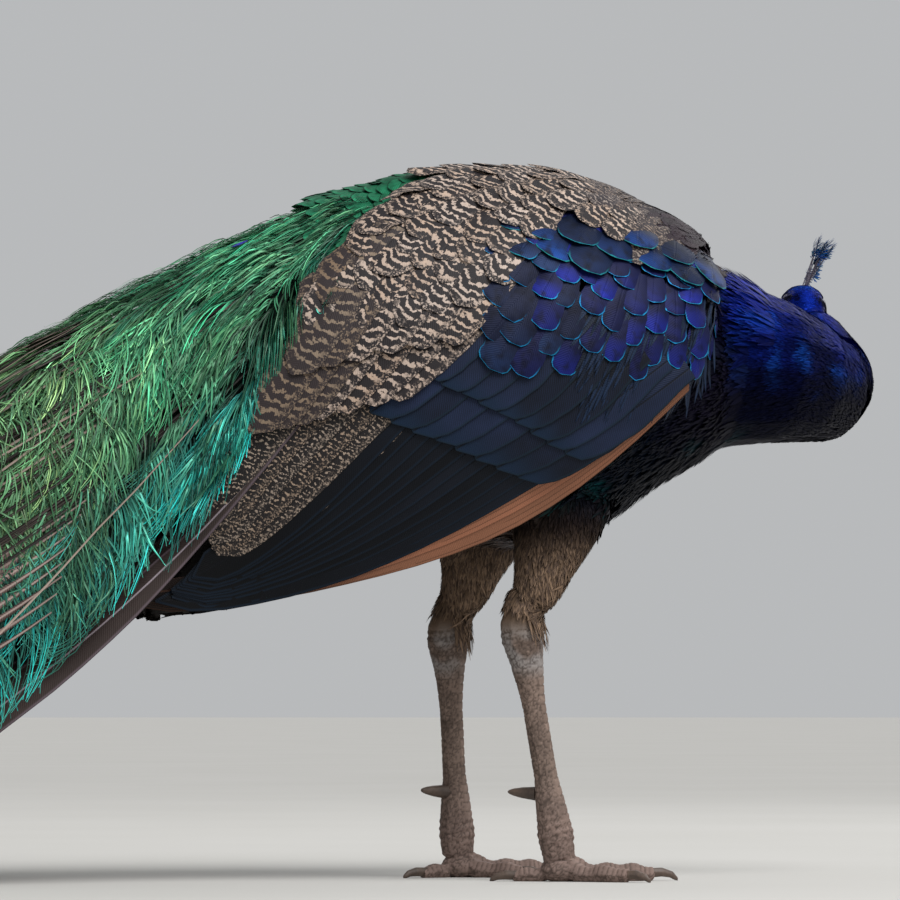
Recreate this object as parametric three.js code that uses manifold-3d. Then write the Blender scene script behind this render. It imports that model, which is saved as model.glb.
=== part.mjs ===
// A life-size Indian peacock, standing, with its head turned to its left and its train trailing on the floor.
// Millimetres. +X is the way the body faces, +Y the bird's left and +Z up; the floor is z = 0.
// The solids give the bird's outline with its feathers on.
import * as THREE from "three";
import { mergeVertices } from "three/addons/utils/BufferGeometryUtils.js";
import Module from "manifold-3d";

const GAP = 0.42; // play between neighbouring pieces
const SIMPLER = 0.17; // how far a surface may move when small facets are joined

// Trunk: [x, centre height, half width, half height], from breast to tail root.
const TRUNK = [
  [158, 340, 34, 34],
  [132, 338, 58, 62],
  [95, 336, 76, 82],
  [50, 331, 89, 104],
  [0, 331, 93, 114],
  [-50, 333, 91, 113],
  [-100, 334, 85, 101],
  [-150, 334, 73, 81],
  [-200, 334, 55, 54],
  [-240, 330, 36, 32],
];
// Outer surface of the folded wings, in the same form, from bend to tip.
const WING = [
  [146, 350, 48, 40],
  [122, 349, 84, 74],
  [92, 346, 101, 94],
  [45, 342, 111, 113],
  [0, 337, 116, 124],
  [-60, 330, 116, 128],
  [-120, 320, 110, 131],
  [-180, 302, 100, 130],
  [-230, 280, 88, 120],
  [-262, 262, 78, 104],
];
const WING_THICK_BEND = 26; // plate thickness at the bend of the wing
const WING_THICK_TIP = 6; // and at the tips of its longest feathers
const DRAPE = 0.5; // lower is fuller
const MANTLE_HALF_WIDTH = 27; // strip of back between the wings
const MANTLE_ENDS = [-84, 124]; // its ends along X

// Neck: [x, y, z, half width, half height], from the trunk to the skull.
const NECK = [
  [95, 0, 338, 66, 76],
  [138, 1, 339, 53, 62],
  [182, 12, 333, 44, 51],
  [217, 44, 326, 36, 41],
  [231, 84, 335, 29, 31],
  [229, 114, 352, 23, 25],
  [224, 137, 373, 18, 19],
];
const NECK_CUTS = [0.2, 0.47, 0.7, 0.955]; // where trunk, neck lengths and head part, as shares of the line

// Head, in its own frame: +X along the bill, +Z up through the crown, origin between the eyes.
const HEAD_PLACE = [223, 153, 379];
const HEAD_TURN_DEG = 93; // from straight ahead towards the bird's left
const HEAD_DROOP_DEG = 30; // bill below level
const HEAD_ROLL_DEG = 7;
const SKULL = [
  [-25, -3, 10, 10],
  [-15, 0, 16, 18],
  [-2, 1, 17.5, 20],
  [11, 0, 15, 17],
  [22, -2, 10, 12],
  [29, -4, 6.5, 8],
];
const EYE = { forward: 5, out: 11.5, up: 3, radius: 6.6 };
const BILL_UPPER = [
  [15, -1, 6, 5],
  [24, -2, 6.6, 6],
  [34, -3, 5.2, 5.2],
  [44, -5.5, 3.2, 3.6],
  [51, -10.5, 1.1, 1.2],
];
const BILL_LOWER = [
  [15, -9, 5, 3],
  [24, -10.6, 5.6, 3],
  [35, -11.6, 4.2, 2.5],
  [46, -12.6, 1.6, 1.2],
];
// Crest: angles in degrees; back is how far its middle leans from the crown's own upward line.
const CREST = { plumes: 11, length: 40, fan: 66, back: 6, splay: 8, vane: 6, shaft: 0.7 };

// Train of long back feathers: [x, underside height, half width, height at the ridge above that].
const TRAIN = [
  [-36, 436, 20, 16],
  [-80, 400, 44, 52],
  [-123, 360, 66, 86],
  [-182, 292, 90, 128],
  [-253, 213, 110, 171],
  [-338, 146, 124, 190],
  [-480, 64, 143, 182],
  [-620, 20, 160, 132],
  [-760, 0, 174, 88],
  [-900, 0, 186, 52],
  [-1050, 0, 190, 34],
  [-1180, 0, 158, 24],
  [-1262, 0, 78, 14],
];
const TRAIN_CUTS = [-330, -690, -1000]; // where its four lengths part

// Tail proper, under the train: [x, z, half width, half thickness] of each oval section.
const TAIL = [
  [-196, 306, 34, 20],
  [-240, 258, 62, 24],
  [-290, 193, 84, 21],
  [-345, 128, 98, 17],
  [-410, 84, 98, 12],
  [-458, 56, 82, 7],
];
const VENT = [
  [-110, 262, 52, 34],
  [-165, 252, 50, 36],
  [-220, 232, 42, 28],
  [-268, 200, 26, 12],
];

// Legs: joints as [x, y, z]; heading is the way the middle toe points, degrees towards the bird's left.
const LEGS = {
  right: {
    side: -1,
    knee: [30, -45, 262],
    hock: [-1, -47, 161],
    ankle: [22, -50, 22],
    heading: 4,
  },
  left: {
    side: 1,
    knee: [-4, 45, 262],
    hock: [-36, 48, 159],
    ankle: [-29, 52, 22],
    heading: 12,
  },
};
// Shank: [share of the way from hock to ankle, half width, half depth].
const TARSUS = [
  [-0.13, 8, 10],
  [0, 10.5, 14],
  [0.12, 8.4, 11],
  [0.35, 6.8, 8.6],
  [0.7, 7.2, 8.6],
  [0.88, 9.2, 10.6],
  [1.02, 10.5, 13],
];
// Toes: angle from the middle toe towards the bird's midline, length and half thickness.
const TOES = {
  middle: { angle: 0, length: 62, thick: 6.6 },
  inner: { angle: 42, length: 45, thick: 5.8 },
  outer: { angle: -38, length: 48, thick: 5.8 },
  hind: { angle: 164, length: 26, thick: 4.8 },
};
const CLAW_LENGTH = 17;
const SPUR = { height: 56, length: 23, thick: 4.6 };

const UP = new THREE.Vector3(0, 0, 1);
const AHEAD = new THREE.Vector3(1, 0, 0);

const wasm = await Module();
wasm.setup();

const skins = {
  blue: material(0x14206e, 0.5),
  breast: material(0x0c1a2c, 0.6),
  mantle: material(0x1f5a45, 0.5),
  barred: material(0x7b6a5c, 0.7),
  covert: material(0x1d2c58, 0.45),
  slate: material(0x161d2b, 0.55),
  chestnut: material(0xb0734c, 0.65),
  green: material(0x1d7a55, 0.5),
  brown: material(0x54453f, 0.7),
  leg: material(0x84705f, 0.7),
  horn: material(0x8d8273, 0.5),
  eye: material(0x1c1009, 0.12),
};
function material(color, roughness) {
  return new THREE.MeshStandardMaterial({ color, roughness, metalness: 0 });
}

// ---- making solids ----

// Only positions, with shared vertices merged, moved out along the surface by grow.
function bare(geometry, grow = 0) {
  const copy = geometry.clone();
  for (const name of Object.keys(copy.attributes)) {
    if (name !== "position") copy.deleteAttribute(name);
  }
  const merged = mergeVertices(copy, 1e-3);
  if (grow) {
    merged.computeVertexNormals();
    const { position, normal } = merged.attributes;
    for (let i = 0; i < position.count; i++) {
      position.setXYZ(
        i,
        position.getX(i) + grow * normal.getX(i),
        position.getY(i) + grow * normal.getY(i),
        position.getZ(i) + grow * normal.getZ(i),
      );
    }
  }
  return merged;
}

function toSolid(geometry, grow = 0) {
  const { attributes, index } = bare(geometry, grow);
  return new wasm.Manifold(
    new wasm.Mesh({
      numProp: 3,
      vertProperties: new Float32Array(attributes.position.array),
      triVerts: new Uint32Array(index.array),
    }),
  );
}

function toGeometry(solid) {
  const { numVert, numProp, vertProperties, triVerts } = solid.getMesh();
  const places = new Float32Array(numVert * 3);
  for (let i = 0; i < numVert; i++) {
    places.set(vertProperties.subarray(i * numProp, i * numProp + 3), i * 3);
  }
  const geometry = new THREE.BufferGeometry();
  geometry.setAttribute("position", new THREE.BufferAttribute(places, 3));
  geometry.setIndex(new THREE.BufferAttribute(new Uint32Array(triVerts), 1));
  geometry.computeVertexNormals();
  return geometry;
}

const oval = (angle) => [Math.cos(angle), Math.sin(angle)];
// Full at the sides below the middle, as the feathers of a folded wing hang down past the flank.
const draped = (angle) => {
  const [across, high] = oval(angle);
  return high < 0 ? [Math.sign(across) * Math.abs(across) ** DRAPE, high] : [across, high];
};
const flatBelow = (angle) => [Math.cos(angle), Math.max(0, Math.sin(angle))];

// A closed body whose sections follow a smooth line through the stations [x, y, z, half width, half height].
// up gives the direction of the height; upright keeps every section square to the X axis.
function limb(stations, options = {}) {
  const { sides = 18, rings = 16, up = UP, blunt = 0.12, upright = false, section = oval } = options;
  const line = smooth(stations.map(([x, y, z]) => [x, y, z]));
  const sizes = smooth(stations.map(([, , , w, h]) => [w, h, 0]));
  const geometry = new THREE.SphereGeometry(1, sides, rings);
  const { position } = geometry.attributes;
  for (let i = 0; i < position.count; i++) {
    const along = Math.min(1, Math.max(0, (1 - position.getY(i)) / 2));
    const angle = Math.atan2(position.getZ(i), position.getX(i));
    const fromEnd = Math.min(along, 1 - along) / blunt;
    const round = fromEnd < 1 ? Math.sqrt(Math.max(0, 1 - (1 - fromEnd) ** 2)) : 1;
    const { forward, height, width } = frameOf(line, along, up, upright);
    const size = sizes.getPoint(along);
    const [across, high] = section(angle);
    const place = line
      .getPoint(along)
      .addScaledVector(width, across * size.x * round)
      .addScaledVector(height, high * size.y * round);
    position.setXYZ(i, place.x, place.y, place.z);
  }
  return geometry;
}

function smooth(points) {
  return new THREE.CatmullRomCurve3(
    points.map((p) => new THREE.Vector3(...p)),
    false,
    "catmullrom",
  );
}

function frameOf(line, along, up, upright) {
  const forward = upright ? AHEAD.clone().negate() : line.getTangent(along);
  const height = up.clone().addScaledVector(forward, -up.dot(forward)).normalize();
  const width = new THREE.Vector3().crossVectors(height, forward);
  return { forward, height, width };
}

// Stations of a body in the plane of symmetry, given as [x, z, half width, half height].
const central = (rows) => rows.map(([x, z, w, h]) => [x, 0, z, w, h]);

// A prism with the given outline in side view, [x, z], between two values of y.
function sidePrism(outline, low, high) {
  const shape = new THREE.Shape(outline.map(([x, z]) => new THREE.Vector2(x, z)));
  const geometry = new THREE.ExtrudeGeometry(shape, { depth: high - low, bevelEnabled: false, steps: 1 });
  return toSolid(geometry.rotateX(Math.PI / 2).translate(0, high, 0));
}

// Points along a smooth line in side view through [x, z], each moved square to it by offset.
function offsetLine(points, offset, steps) {
  const curve = new THREE.SplineCurve(points.map(([x, z]) => new THREE.Vector2(x, z)));
  return Array.from({ length: steps + 1 }, (_, i) => {
    const place = curve.getPoint(i / steps);
    const way = curve.getTangent(i / steps);
    return [place.x - way.y * offset, place.y + way.x * offset];
  });
}

// A thin wall along a smooth line in side view, to part a wing with.
function partingWall(points) {
  const one = offsetLine(points, GAP / 2, 9);
  const other = offsetLine(points, -GAP / 2, 9).reverse();
  return sidePrism([...one, ...other], -160, 0);
}

// The two sides of a thin cut through a solid, at a point and square to a direction.
function partedBy(solid, place, direction) {
  const way = direction.clone().normalize();
  const at = way.dot(place);
  const beyond = solid.trimByPlane(way.toArray(), at + GAP / 2);
  const before = solid.trimByPlane(way.clone().negate().toArray(), -at + GAP / 2);
  return [before, beyond];
}

const aboveFloor = (solid) => solid.trimByPlane([0, 0, 1], 0);

const largest = (solid) =>
  solid.decompose().reduce((best, piece) => (piece.volume() > best.volume() ? piece : best));

const peacock = new THREE.Group();
function add(name, solid, skin) {
  const mesh = new THREE.Mesh(toGeometry(largest(solid.asOriginal().simplify(SIMPLER))), skin);
  mesh.name = name;
  peacock.add(mesh);
}

// ---- trunk, neck and head ----

const trunkBody = limb(central(TRUNK), { sides: 20, rings: 13, upright: true });
const neckBody = limb(NECK, { sides: 16, rings: 16, blunt: 0.05 });
const neckLine = smooth(NECK.map(([x, y, z]) => [x, y, z]));

const headFrame = new THREE.Matrix4()
  .makeTranslation(...HEAD_PLACE)
  .multiply(new THREE.Matrix4().makeRotationZ(THREE.MathUtils.degToRad(HEAD_TURN_DEG)))
  .multiply(new THREE.Matrix4().makeRotationY(THREE.MathUtils.degToRad(HEAD_DROOP_DEG)))
  .multiply(new THREE.Matrix4().makeRotationX(THREE.MathUtils.degToRad(HEAD_ROLL_DEG)));

function headLimb(rows, options) {
  return limb(central(rows), options).applyMatrix4(headFrame);
}
function eyeball(side) {
  const { forward, out, up, radius } = EYE;
  return new THREE.SphereGeometry(radius, 10, 7).translate(forward, side * out, up).applyMatrix4(headFrame);
}

// Bare shafts that fan from the back of the crown, each with a small vane at its tip.
function crestSolid(grow = 0) {
  const root = new THREE.Vector3(-9, 0, 17);
  const base = new THREE.SphereGeometry(5.5, 8, 6).scale(1.2, 0.8, 1).translate(...root.toArray());
  let crest = toSolid(base.applyMatrix4(headFrame), grow);
  if (grow) return crest;
  for (let i = 0; i < CREST.plumes; i++) {
    const share = i / (CREST.plumes - 1) - 0.5;
    const lean = THREE.MathUtils.degToRad(CREST.back + share * CREST.fan);
    const splay = THREE.MathUtils.degToRad(CREST.splay * ((i % 3) - 1));
    const way = new THREE.Vector3(-Math.sin(lean), Math.sin(splay), Math.cos(lean)).normalize();
    const length = CREST.length * (1 - 0.5 * share * share - 0.06 * (i % 2));
    const plume = [[0, CREST.shaft], [0.6, CREST.shaft], [0.85, CREST.vane / 2], [1, CREST.vane / 3]];
    const stations = plume.map(([along, half]) => {
      const place = root.clone().addScaledVector(way, length * along);
      return [...place.toArray(), CREST.shaft, half];
    });
    const body = limb(stations, { sides: 4, rings: 4, up: AHEAD, blunt: 0.04 });
    crest = crest.add(toSolid(body.applyMatrix4(headFrame)));
  }
  return crest;
}

function flesh() {
  const skull = toSolid(headLimb(SKULL, { sides: 14, rings: 11, blunt: 0.3 }));
  let rest = toSolid(trunkBody).add(toSolid(neckBody)).add(skull);
  const parts = [];
  for (const share of NECK_CUTS) {
    const [before, beyond] = partedBy(rest, neckLine.getPoint(share), neckLine.getTangent(share));
    parts.push(before);
    rest = beyond;
  }
  const [trunk, lower, middle, upper] = parts;
  add("trunk", trunk, skins.breast);
  add("neck_lower", lower, skins.blue);
  add("neck_middle", middle, skins.blue);
  add("neck_upper", upper, skins.blue);
  return rest;
}

function head(solid) {
  const upper = headLimb(BILL_UPPER, { sides: 10, rings: 10, blunt: 0.1 });
  const lower = headLimb(BILL_LOWER, { sides: 8, rings: 8, blunt: 0.1 });
  let skull = solid.subtract(toSolid(upper, GAP)).subtract(toSolid(lower, GAP));
  for (const [name, side] of [["eye_left", 1], ["eye_right", -1]]) {
    skull = skull.subtract(toSolid(eyeball(side), GAP));
    add(name, toSolid(eyeball(side)), skins.eye);
  }
  skull = skull.subtract(crestSolid(GAP));
  add("head", skull, skins.blue);
  add("bill_upper", toSolid(upper), skins.horn);
  add("bill_lower", toSolid(lower).subtract(toSolid(upper, GAP)), skins.horn);
  add("crest", crestSolid(), skins.blue);
}

// ---- wings ----

// Outline of the folded right wing in side view, [x, z], from the bend round the lower edge and tip.
const WING_LOW = [
  [126, 388],
  [121, 352],
  [104, 322],
  [80, 292],
  [40, 258],
  [0, 231],
  [-55, 210],
  [-110, 198],
  [-180, 183],
  [-238, 172],
];
const WING_HIGH = [
  [-246, 182],
  [-214, 222],
  [-188, 262],
  [-178, 296],
  [-172, 330],
  [-134, 396],
  [-92, 430],
  [-60, 452],
];
const WING_TOP_HEIGHT = 475; // above the back
// Lines that part the wing, in side view.
const SCAPULAR_LINE = [
  [150, 412],
  [80, 418],
  [30, 418],
  [-6, 400],
  [-22, 362],
  [-50, 333],
  [-94, 306],
  [-150, 292],
  [-210, 286],
];
const COVERT_LINE = [
  [140, 322],
  [96, 320],
  [50, 300],
  [0, 296],
  [-40, 312],
  [-72, 330],
];
const TERTIAL_LINE = [
  [-88, 324],
  [-84, 300],
  [-110, 262],
  [-160, 228],
  [-200, 204],
  [-262, 186],
];
const PRIMARY_LINE = [
  [110, 308],
  [74, 312],
  [30, 276],
  [-20, 246],
  [-80, 222],
  [-160, 200],
  [-262, 184],
];

const wingInner = WING.map(([x, z, w, h], i) => {
  const share = i / (WING.length - 1);
  const thick = WING_THICK_BEND + (WING_THICK_TIP - WING_THICK_BEND) * share;
  return [x - (i ? 0 : 12), z, w - thick, h - thick];
});

const folded = { upright: true, blunt: 0.1, section: draped };
const wingOuter = limb(central(WING), { ...folded, sides: 26, rings: 14 });
const wingCore = limb(central(wingInner), { ...folded, sides: 18, rings: 10 });

function wingShell(grow = 0) {
  const outline = [
    ...offsetLine(WING_LOW, grow * 2, 13),
    ...offsetLine(WING_HIGH, grow * 2, 9),
    [WING_HIGH.at(-1)[0] - grow * 2, WING_TOP_HEIGHT],
    [WING_LOW[0][0] + grow * 2, WING_TOP_HEIGHT],
  ];
  const side = sidePrism(outline, -160, -MANTLE_HALF_WIDTH + grow);
  return toSolid(wingOuter, grow).intersect(side).subtract(toSolid(wingCore, -grow));
}

function pieceAt(pieces, [x, z]) {
  const probe = sidePrism([[x - 2, z - 2], [x + 2, z - 2], [x + 2, z + 2], [x - 2, z + 2]], -160, 0);
  const found = pieces.find((piece) => piece.volume() > 500 && !piece.intersect(probe).isEmpty());
  if (!found) throw new Error(`no wing piece at ${x}, ${z}`);
  return found;
}

function wings(thighs) {
  let wing = wingShell().subtract(toSolid(trunkBody, GAP)).subtract(toSolid(neckBody, GAP));
  for (const thigh of thighs) {
    const room = toSolid(thigh, GAP);
    wing = wing.subtract(room).subtract(room.mirror([0, 1, 0]));
  }
  for (const line of [SCAPULAR_LINE, COVERT_LINE, TERTIAL_LINE, PRIMARY_LINE]) {
    wing = wing.subtract(partingWall(line));
  }
  const pieces = wing.decompose();
  const rows = [
    ["scapulars", [-40, 410], skins.barred],
    ["coverts", [40, 370], skins.covert],
    ["tertials", [-130, 270], skins.barred],
    ["secondaries", [-30, 280], skins.slate],
    ["primaries", [-20, 232], skins.chestnut],
  ];
  for (const [name, place, skin] of rows) {
    const right = pieceAt(pieces, place);
    add(`${name}_right`, right, skin);
    add(`${name}_left`, right.mirror([0, 1, 0]), skin);
  }
}

// Back feathers that fill the strip between the two wings.
function mantle(train) {
  const halfWidth = MANTLE_HALF_WIDTH - GAP;
  const [back, front] = MANTLE_ENDS;
  const outline = [[back, 340], [front, 340], [front, WING_TOP_HEIGHT], [back, WING_TOP_HEIGHT]];
  const strip = toSolid(wingOuter).intersect(sidePrism(outline, -halfWidth, halfWidth));
  const room = toSolid(trunkBody, GAP).add(toSolid(neckBody, GAP)).add(toSolid(train, GAP));
  add("mantle", strip.subtract(room), skins.mantle);
}

// ---- train and tail ----

const trainBody = limb(central(TRAIN), {
  sides: 16,
  rings: 18,
  upright: true,
  section: flatBelow,
  blunt: 0.04,
});

function trainAndTail(thighs) {
  const wing = wingShell(GAP);
  const bothWings = wing.add(wing.mirror([0, 1, 0]));
  const tailBody = limb(central(TAIL), { sides: 12, rings: 9, blunt: 0.08 });
  const ventBody = limb(central(VENT), { sides: 12, rings: 8, blunt: 0.3 });
  const trunkRoom = toSolid(trunkBody, GAP);
  const tailRoom = toSolid(tailBody, GAP);
  const ventRoom = toSolid(ventBody, GAP);
  const room = trunkRoom.add(bothWings).add(tailRoom).add(ventRoom);
  let rest = aboveFloor(toSolid(trainBody)).subtract(room);
  const names = ["train_root", "train_upper", "train_middle", "train_end"];
  TRAIN_CUTS.forEach((x, i) => {
    const [before, beyond] = partedBy(rest, new THREE.Vector3(x, 0, 0), AHEAD.clone().negate());
    add(names[i], before, skins.green);
    rest = beyond;
  });
  add(names.at(-1), rest, skins.green);
  const tail = toSolid(tailBody).subtract(trunkRoom).subtract(bothWings).subtract(ventRoom);
  add("tail", tail, skins.brown);
  let vent = toSolid(ventBody).subtract(trunkRoom).subtract(bothWings);
  for (const thigh of thighs) vent = vent.subtract(toSolid(thigh, GAP));
  add("vent", vent, skins.breast);
}

// ---- legs ----

function thighBody({ knee: [kx, ky, kz], hock: [hx, hy, hz] }) {
  return limb(
    [
      [kx, ky, kz, 24, 38],
      [kx * 0.7 + hx * 0.3, ky, kz * 0.66 + hz * 0.34, 21, 30],
      [kx * 0.35 + hx * 0.65, ky * 0.4 + hy * 0.6, kz * 0.32 + hz * 0.68, 15, 18],
      [hx + 1, hy, hz + 14, 11, 13],
    ],
    { sides: 12, rings: 9, up: AHEAD, blunt: 0.14 },
  );
}

// Scaly shank: TARSUS gives its sections down the line from hock to ankle.
function tarsusBody({ hock: [hx, hy, hz], ankle: [ax, ay, az] }) {
  const stations = TARSUS.map(([share, w, h]) => {
    const rest = 1 - share;
    return [hx * rest + ax * share, hy * rest + ay * share, hz * rest + az * share, w, h];
  });
  return limb(stations, { sides: 10, rings: 10, up: AHEAD, blunt: 0.06 });
}

function toeLine(leg, toe) {
  const turn = THREE.MathUtils.degToRad(leg.heading - leg.side * toe.angle);
  const [ax, ay] = leg.ankle;
  const along = (distance, z) => [ax + Math.cos(turn) * distance, ay + Math.sin(turn) * distance, z];
  return { along, turn };
}

// Joints show as swellings along the toe.
function toeBody(leg, toe) {
  const { along } = toeLine(leg, toe);
  const knuckles = [0, 0.2, 0.4, 0.6, 0.8, 1];
  return limb(
    knuckles.map((share, i) => {
      const thick = toe.thick * (1.12 - 0.34 * share + (i % 2 ? -0.07 : 0.07));
      const lift = share < 0.2 ? 7 : 0;
      return [...along(4 + toe.length * share, thick * 0.82 + lift * (1 - share * 5)), thick, thick];
    }),
    { sides: 6, rings: 6, blunt: 0.1 },
  );
}

function clawBody(leg, toe) {
  const { along } = toeLine(leg, toe);
  const start = 1 + toe.length;
  return limb(
    [
      [...along(start - 3, toe.thick * 0.75), 2.6, 3],
      [...along(start + CLAW_LENGTH * 0.35, toe.thick * 0.85), 2.4, 2.8],
      [...along(start + CLAW_LENGTH * 0.75, toe.thick * 0.6), 1.5, 1.9],
      [...along(start + CLAW_LENGTH, 0.2), 0.6, 0.7],
    ],
    { sides: 6, rings: 5, blunt: 0.1 },
  );
}

function spurBody({ side, hock, ankle }) {
  const share = (hock[2] - SPUR.height) / (hock[2] - ankle[2]);
  const root = new THREE.Vector3(...hock).lerp(new THREE.Vector3(...ankle), share);
  const way = new THREE.Vector3(-0.86, -side * 0.5, 0.06).normalize();
  const sections = [[2, 1], [8, 0.95], [8 + SPUR.length * 0.55, 0.6], [8 + SPUR.length * 0.9, 0.17]];
  const stations = sections.map(([distance, size]) => {
    const place = root.clone().addScaledVector(way, distance);
    return [...place.toArray(), SPUR.thick * size, SPUR.thick * size];
  });
  return limb(stations, { sides: 8, rings: 7 });
}

function legs() {
  for (const [side, leg] of Object.entries(LEGS)) {
    const [ax, ay] = leg.ankle;
    const thigh = thighBody(leg);
    const tarsus = tarsusBody(leg);
    add(`thigh_${side}`, toSolid(thigh).subtract(toSolid(trunkBody, GAP)), skins.brown);
    add(`tarsus_${side}`, toSolid(tarsus).subtract(toSolid(thigh, GAP)), skins.leg);
    add(`spur_${side}`, toSolid(spurBody(leg)).subtract(toSolid(tarsus, GAP)), skins.horn);

    let foot = toSolid(new THREE.SphereGeometry(11, 10, 6).scale(1.15, 1, 0.7).translate(ax + 2, ay, 7));
    for (const toe of Object.values(TOES)) foot = foot.add(toSolid(toeBody(leg, toe)));
    for (const [name, toe] of Object.entries(TOES)) {
      const claw = clawBody(leg, toe);
      foot = foot.subtract(toSolid(claw, GAP));
      add(`claw_${name}_${side}`, aboveFloor(toSolid(claw)), skins.horn);
    }
    add(`foot_${side}`, aboveFloor(foot).subtract(toSolid(tarsus, GAP)), skins.leg);
  }
  return Object.values(LEGS).map(thighBody);
}

const thighs = legs();
head(flesh());
wings(thighs);
mantle(trainBody);
trainAndTail(thighs);

// The origin is on the floor, under the middle of the bird's overall box.
const box = new THREE.Box3().setFromObject(peacock);
const middle = box.getCenter(new THREE.Vector3());
peacock.position.set(-middle.x, -middle.y, -box.min.z);

export default peacock;
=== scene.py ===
"""A still, life-size male peafowl: one skin, and over it the plumage as modelled vanes, tufts and barbs."""
import functools
import math

import bmesh
import bpy
import numpy as np
from mathutils import Matrix, Vector, noise
from mathutils.bvhtree import BVHTree


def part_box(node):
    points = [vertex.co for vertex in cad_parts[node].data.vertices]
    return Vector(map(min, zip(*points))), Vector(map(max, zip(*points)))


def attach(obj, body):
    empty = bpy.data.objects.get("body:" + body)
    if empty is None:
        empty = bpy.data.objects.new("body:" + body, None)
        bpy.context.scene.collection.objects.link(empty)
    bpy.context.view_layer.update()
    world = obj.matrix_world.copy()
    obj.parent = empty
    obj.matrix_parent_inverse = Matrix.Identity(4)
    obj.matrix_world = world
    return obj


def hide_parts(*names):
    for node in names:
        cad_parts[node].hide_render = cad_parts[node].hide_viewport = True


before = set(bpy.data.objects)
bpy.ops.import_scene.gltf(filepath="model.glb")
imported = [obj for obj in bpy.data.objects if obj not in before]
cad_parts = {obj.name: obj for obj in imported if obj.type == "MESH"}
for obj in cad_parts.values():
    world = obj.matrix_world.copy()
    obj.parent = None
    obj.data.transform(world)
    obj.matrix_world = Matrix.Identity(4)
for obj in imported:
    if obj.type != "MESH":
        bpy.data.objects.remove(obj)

bl_info = {
    "name": "Life-size peacock",
    "version": (1, 0, 0),
    "blender": (4, 5, 0),
    "location": "3D View > Sidebar > Peacock",
    "description": "A still, life-size male peafowl with modelled feathers",
    "category": "Object",
}

SIDES = {"right": -1, "left": 1}
FLESH = ("trunk", "neck_lower", "neck_middle", "neck_upper", "head", "thigh_right", "thigh_left", "vent")
FACE_HORN = ("bill_upper", "bill_lower", "eye_left", "eye_right", "crest")
WING_PARTS = ("scapulars", "coverts", "tertials", "secondaries", "primaries")
WINGS = [f"{part}_{side}" for part in WING_PARTS for side in SIDES]
LEGS = [f"{part}_{side}" for part in ("tarsus", "foot") for side in SIDES]
TRAIN = ("train_root", "train_upper", "train_middle", "train_end")
TRAIN_TIP_X = -1262.0  # mm: the train's end, from under the middle of the trunk

MM = 0.001
FLOOR_GAP = 0.0005  # m: no feather comes nearer to the floor
# Random draws start from a seed for each group, so that a change to one leaves the others alone.
SEEDS = {
    "crest": 5, "coat": 11, "flight": 21, "wing_coat": 31, "tail": 41, "train": 51, "back": 71, "low": 91
}


# ---- places ----


def middle(box):
    low, high = box
    return (Vector(low) + Vector(high)) / 2


ORIGIN = np.array([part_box("train_end")[0][0] - TRAIN_TIP_X * MM, middle(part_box("train_end")).y, 0.0])


def placed(points):
    """Places in the frame, in metres, of points in millimetres from under the middle of the trunk."""
    return np.asarray(points, float) * MM + ORIGIN


def local(points):
    """The reverse of placed."""
    return (np.asarray(points, float) - ORIGIN) / MM


def smoothstep(low, high, value):
    share = np.clip((value - low) / (high - low), 0, 1)
    return share * share * (3 - 2 * share)


def unit(vectors):
    return vectors / np.maximum(np.linalg.norm(vectors, axis=-1, keepdims=True), 1e-12)


def tangent(ways, normals):
    """Directions laid flat on a surface with these normals."""
    return unit(ways - normals * np.sum(ways * normals, axis=-1, keepdims=True))


def mix(one, other, share):
    share = np.asarray(share)[..., None]
    return one * (1 - share) + other * share


def cloud(points, scale, shift=0.0):
    """Soft noise from 0 to 1 at each place."""
    return np.array([noise.noise(p) for p in (points * scale + shift).tolist()]) * 0.5 + 0.5


def tone(code):
    """Linear colour of an sRGB hex value."""
    parts = [int(code[i : i + 2], 16) / 255 for i in (0, 2, 4)]
    return np.array([c / 12.92 if c <= 0.04045 else ((c + 0.055) / 1.055) ** 2.4 for c in parts])


# ---- what a user may change ----


def length(name, default, description):
    return bpy.props.FloatProperty(
        name=name, description=description, default=default, min=0.0, unit="LENGTH", precision=4
    )


def colour(name, code, description):
    return bpy.props.FloatVectorProperty(
        name=name, description=description, default=(*tone(code), 1.0), size=4, min=0, max=1, subtype="COLOR"
    )


class PeacockSizes(bpy.types.PropertyGroup):
    neck_tuft: length("Neck tuft", 0.012, "Length of a tuft on the neck")
    breast_tuft: length("Breast tuft", 0.019, "Length of a tuft on the breast and belly")
    thigh_tuft: length("Thigh tuft", 0.010, "Length of a tuft on the thighs")
    head_tuft: length("Head tuft", 0.0045, "Length of a tuft on the head")
    crest_plume: length("Crest plume", 0.040, "Length of a crest plume")
    scapular: length("Scapular", 0.046, "Length of a barred shoulder feather")
    bar: length("Bar", 0.0064, "Distance from one cream bar to the next")
    covert: length("Covert", 0.024, "Length of a blue-rimmed wing covert")
    barb: length("Barb", 0.042, "Length of a loose barb on the train")
    eye_vane: length("Eyespot", 0.040, "Length of an eyespot's vane")
    scale: length("Scale", 0.0026, "Width of a small scale on the leg")


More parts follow.
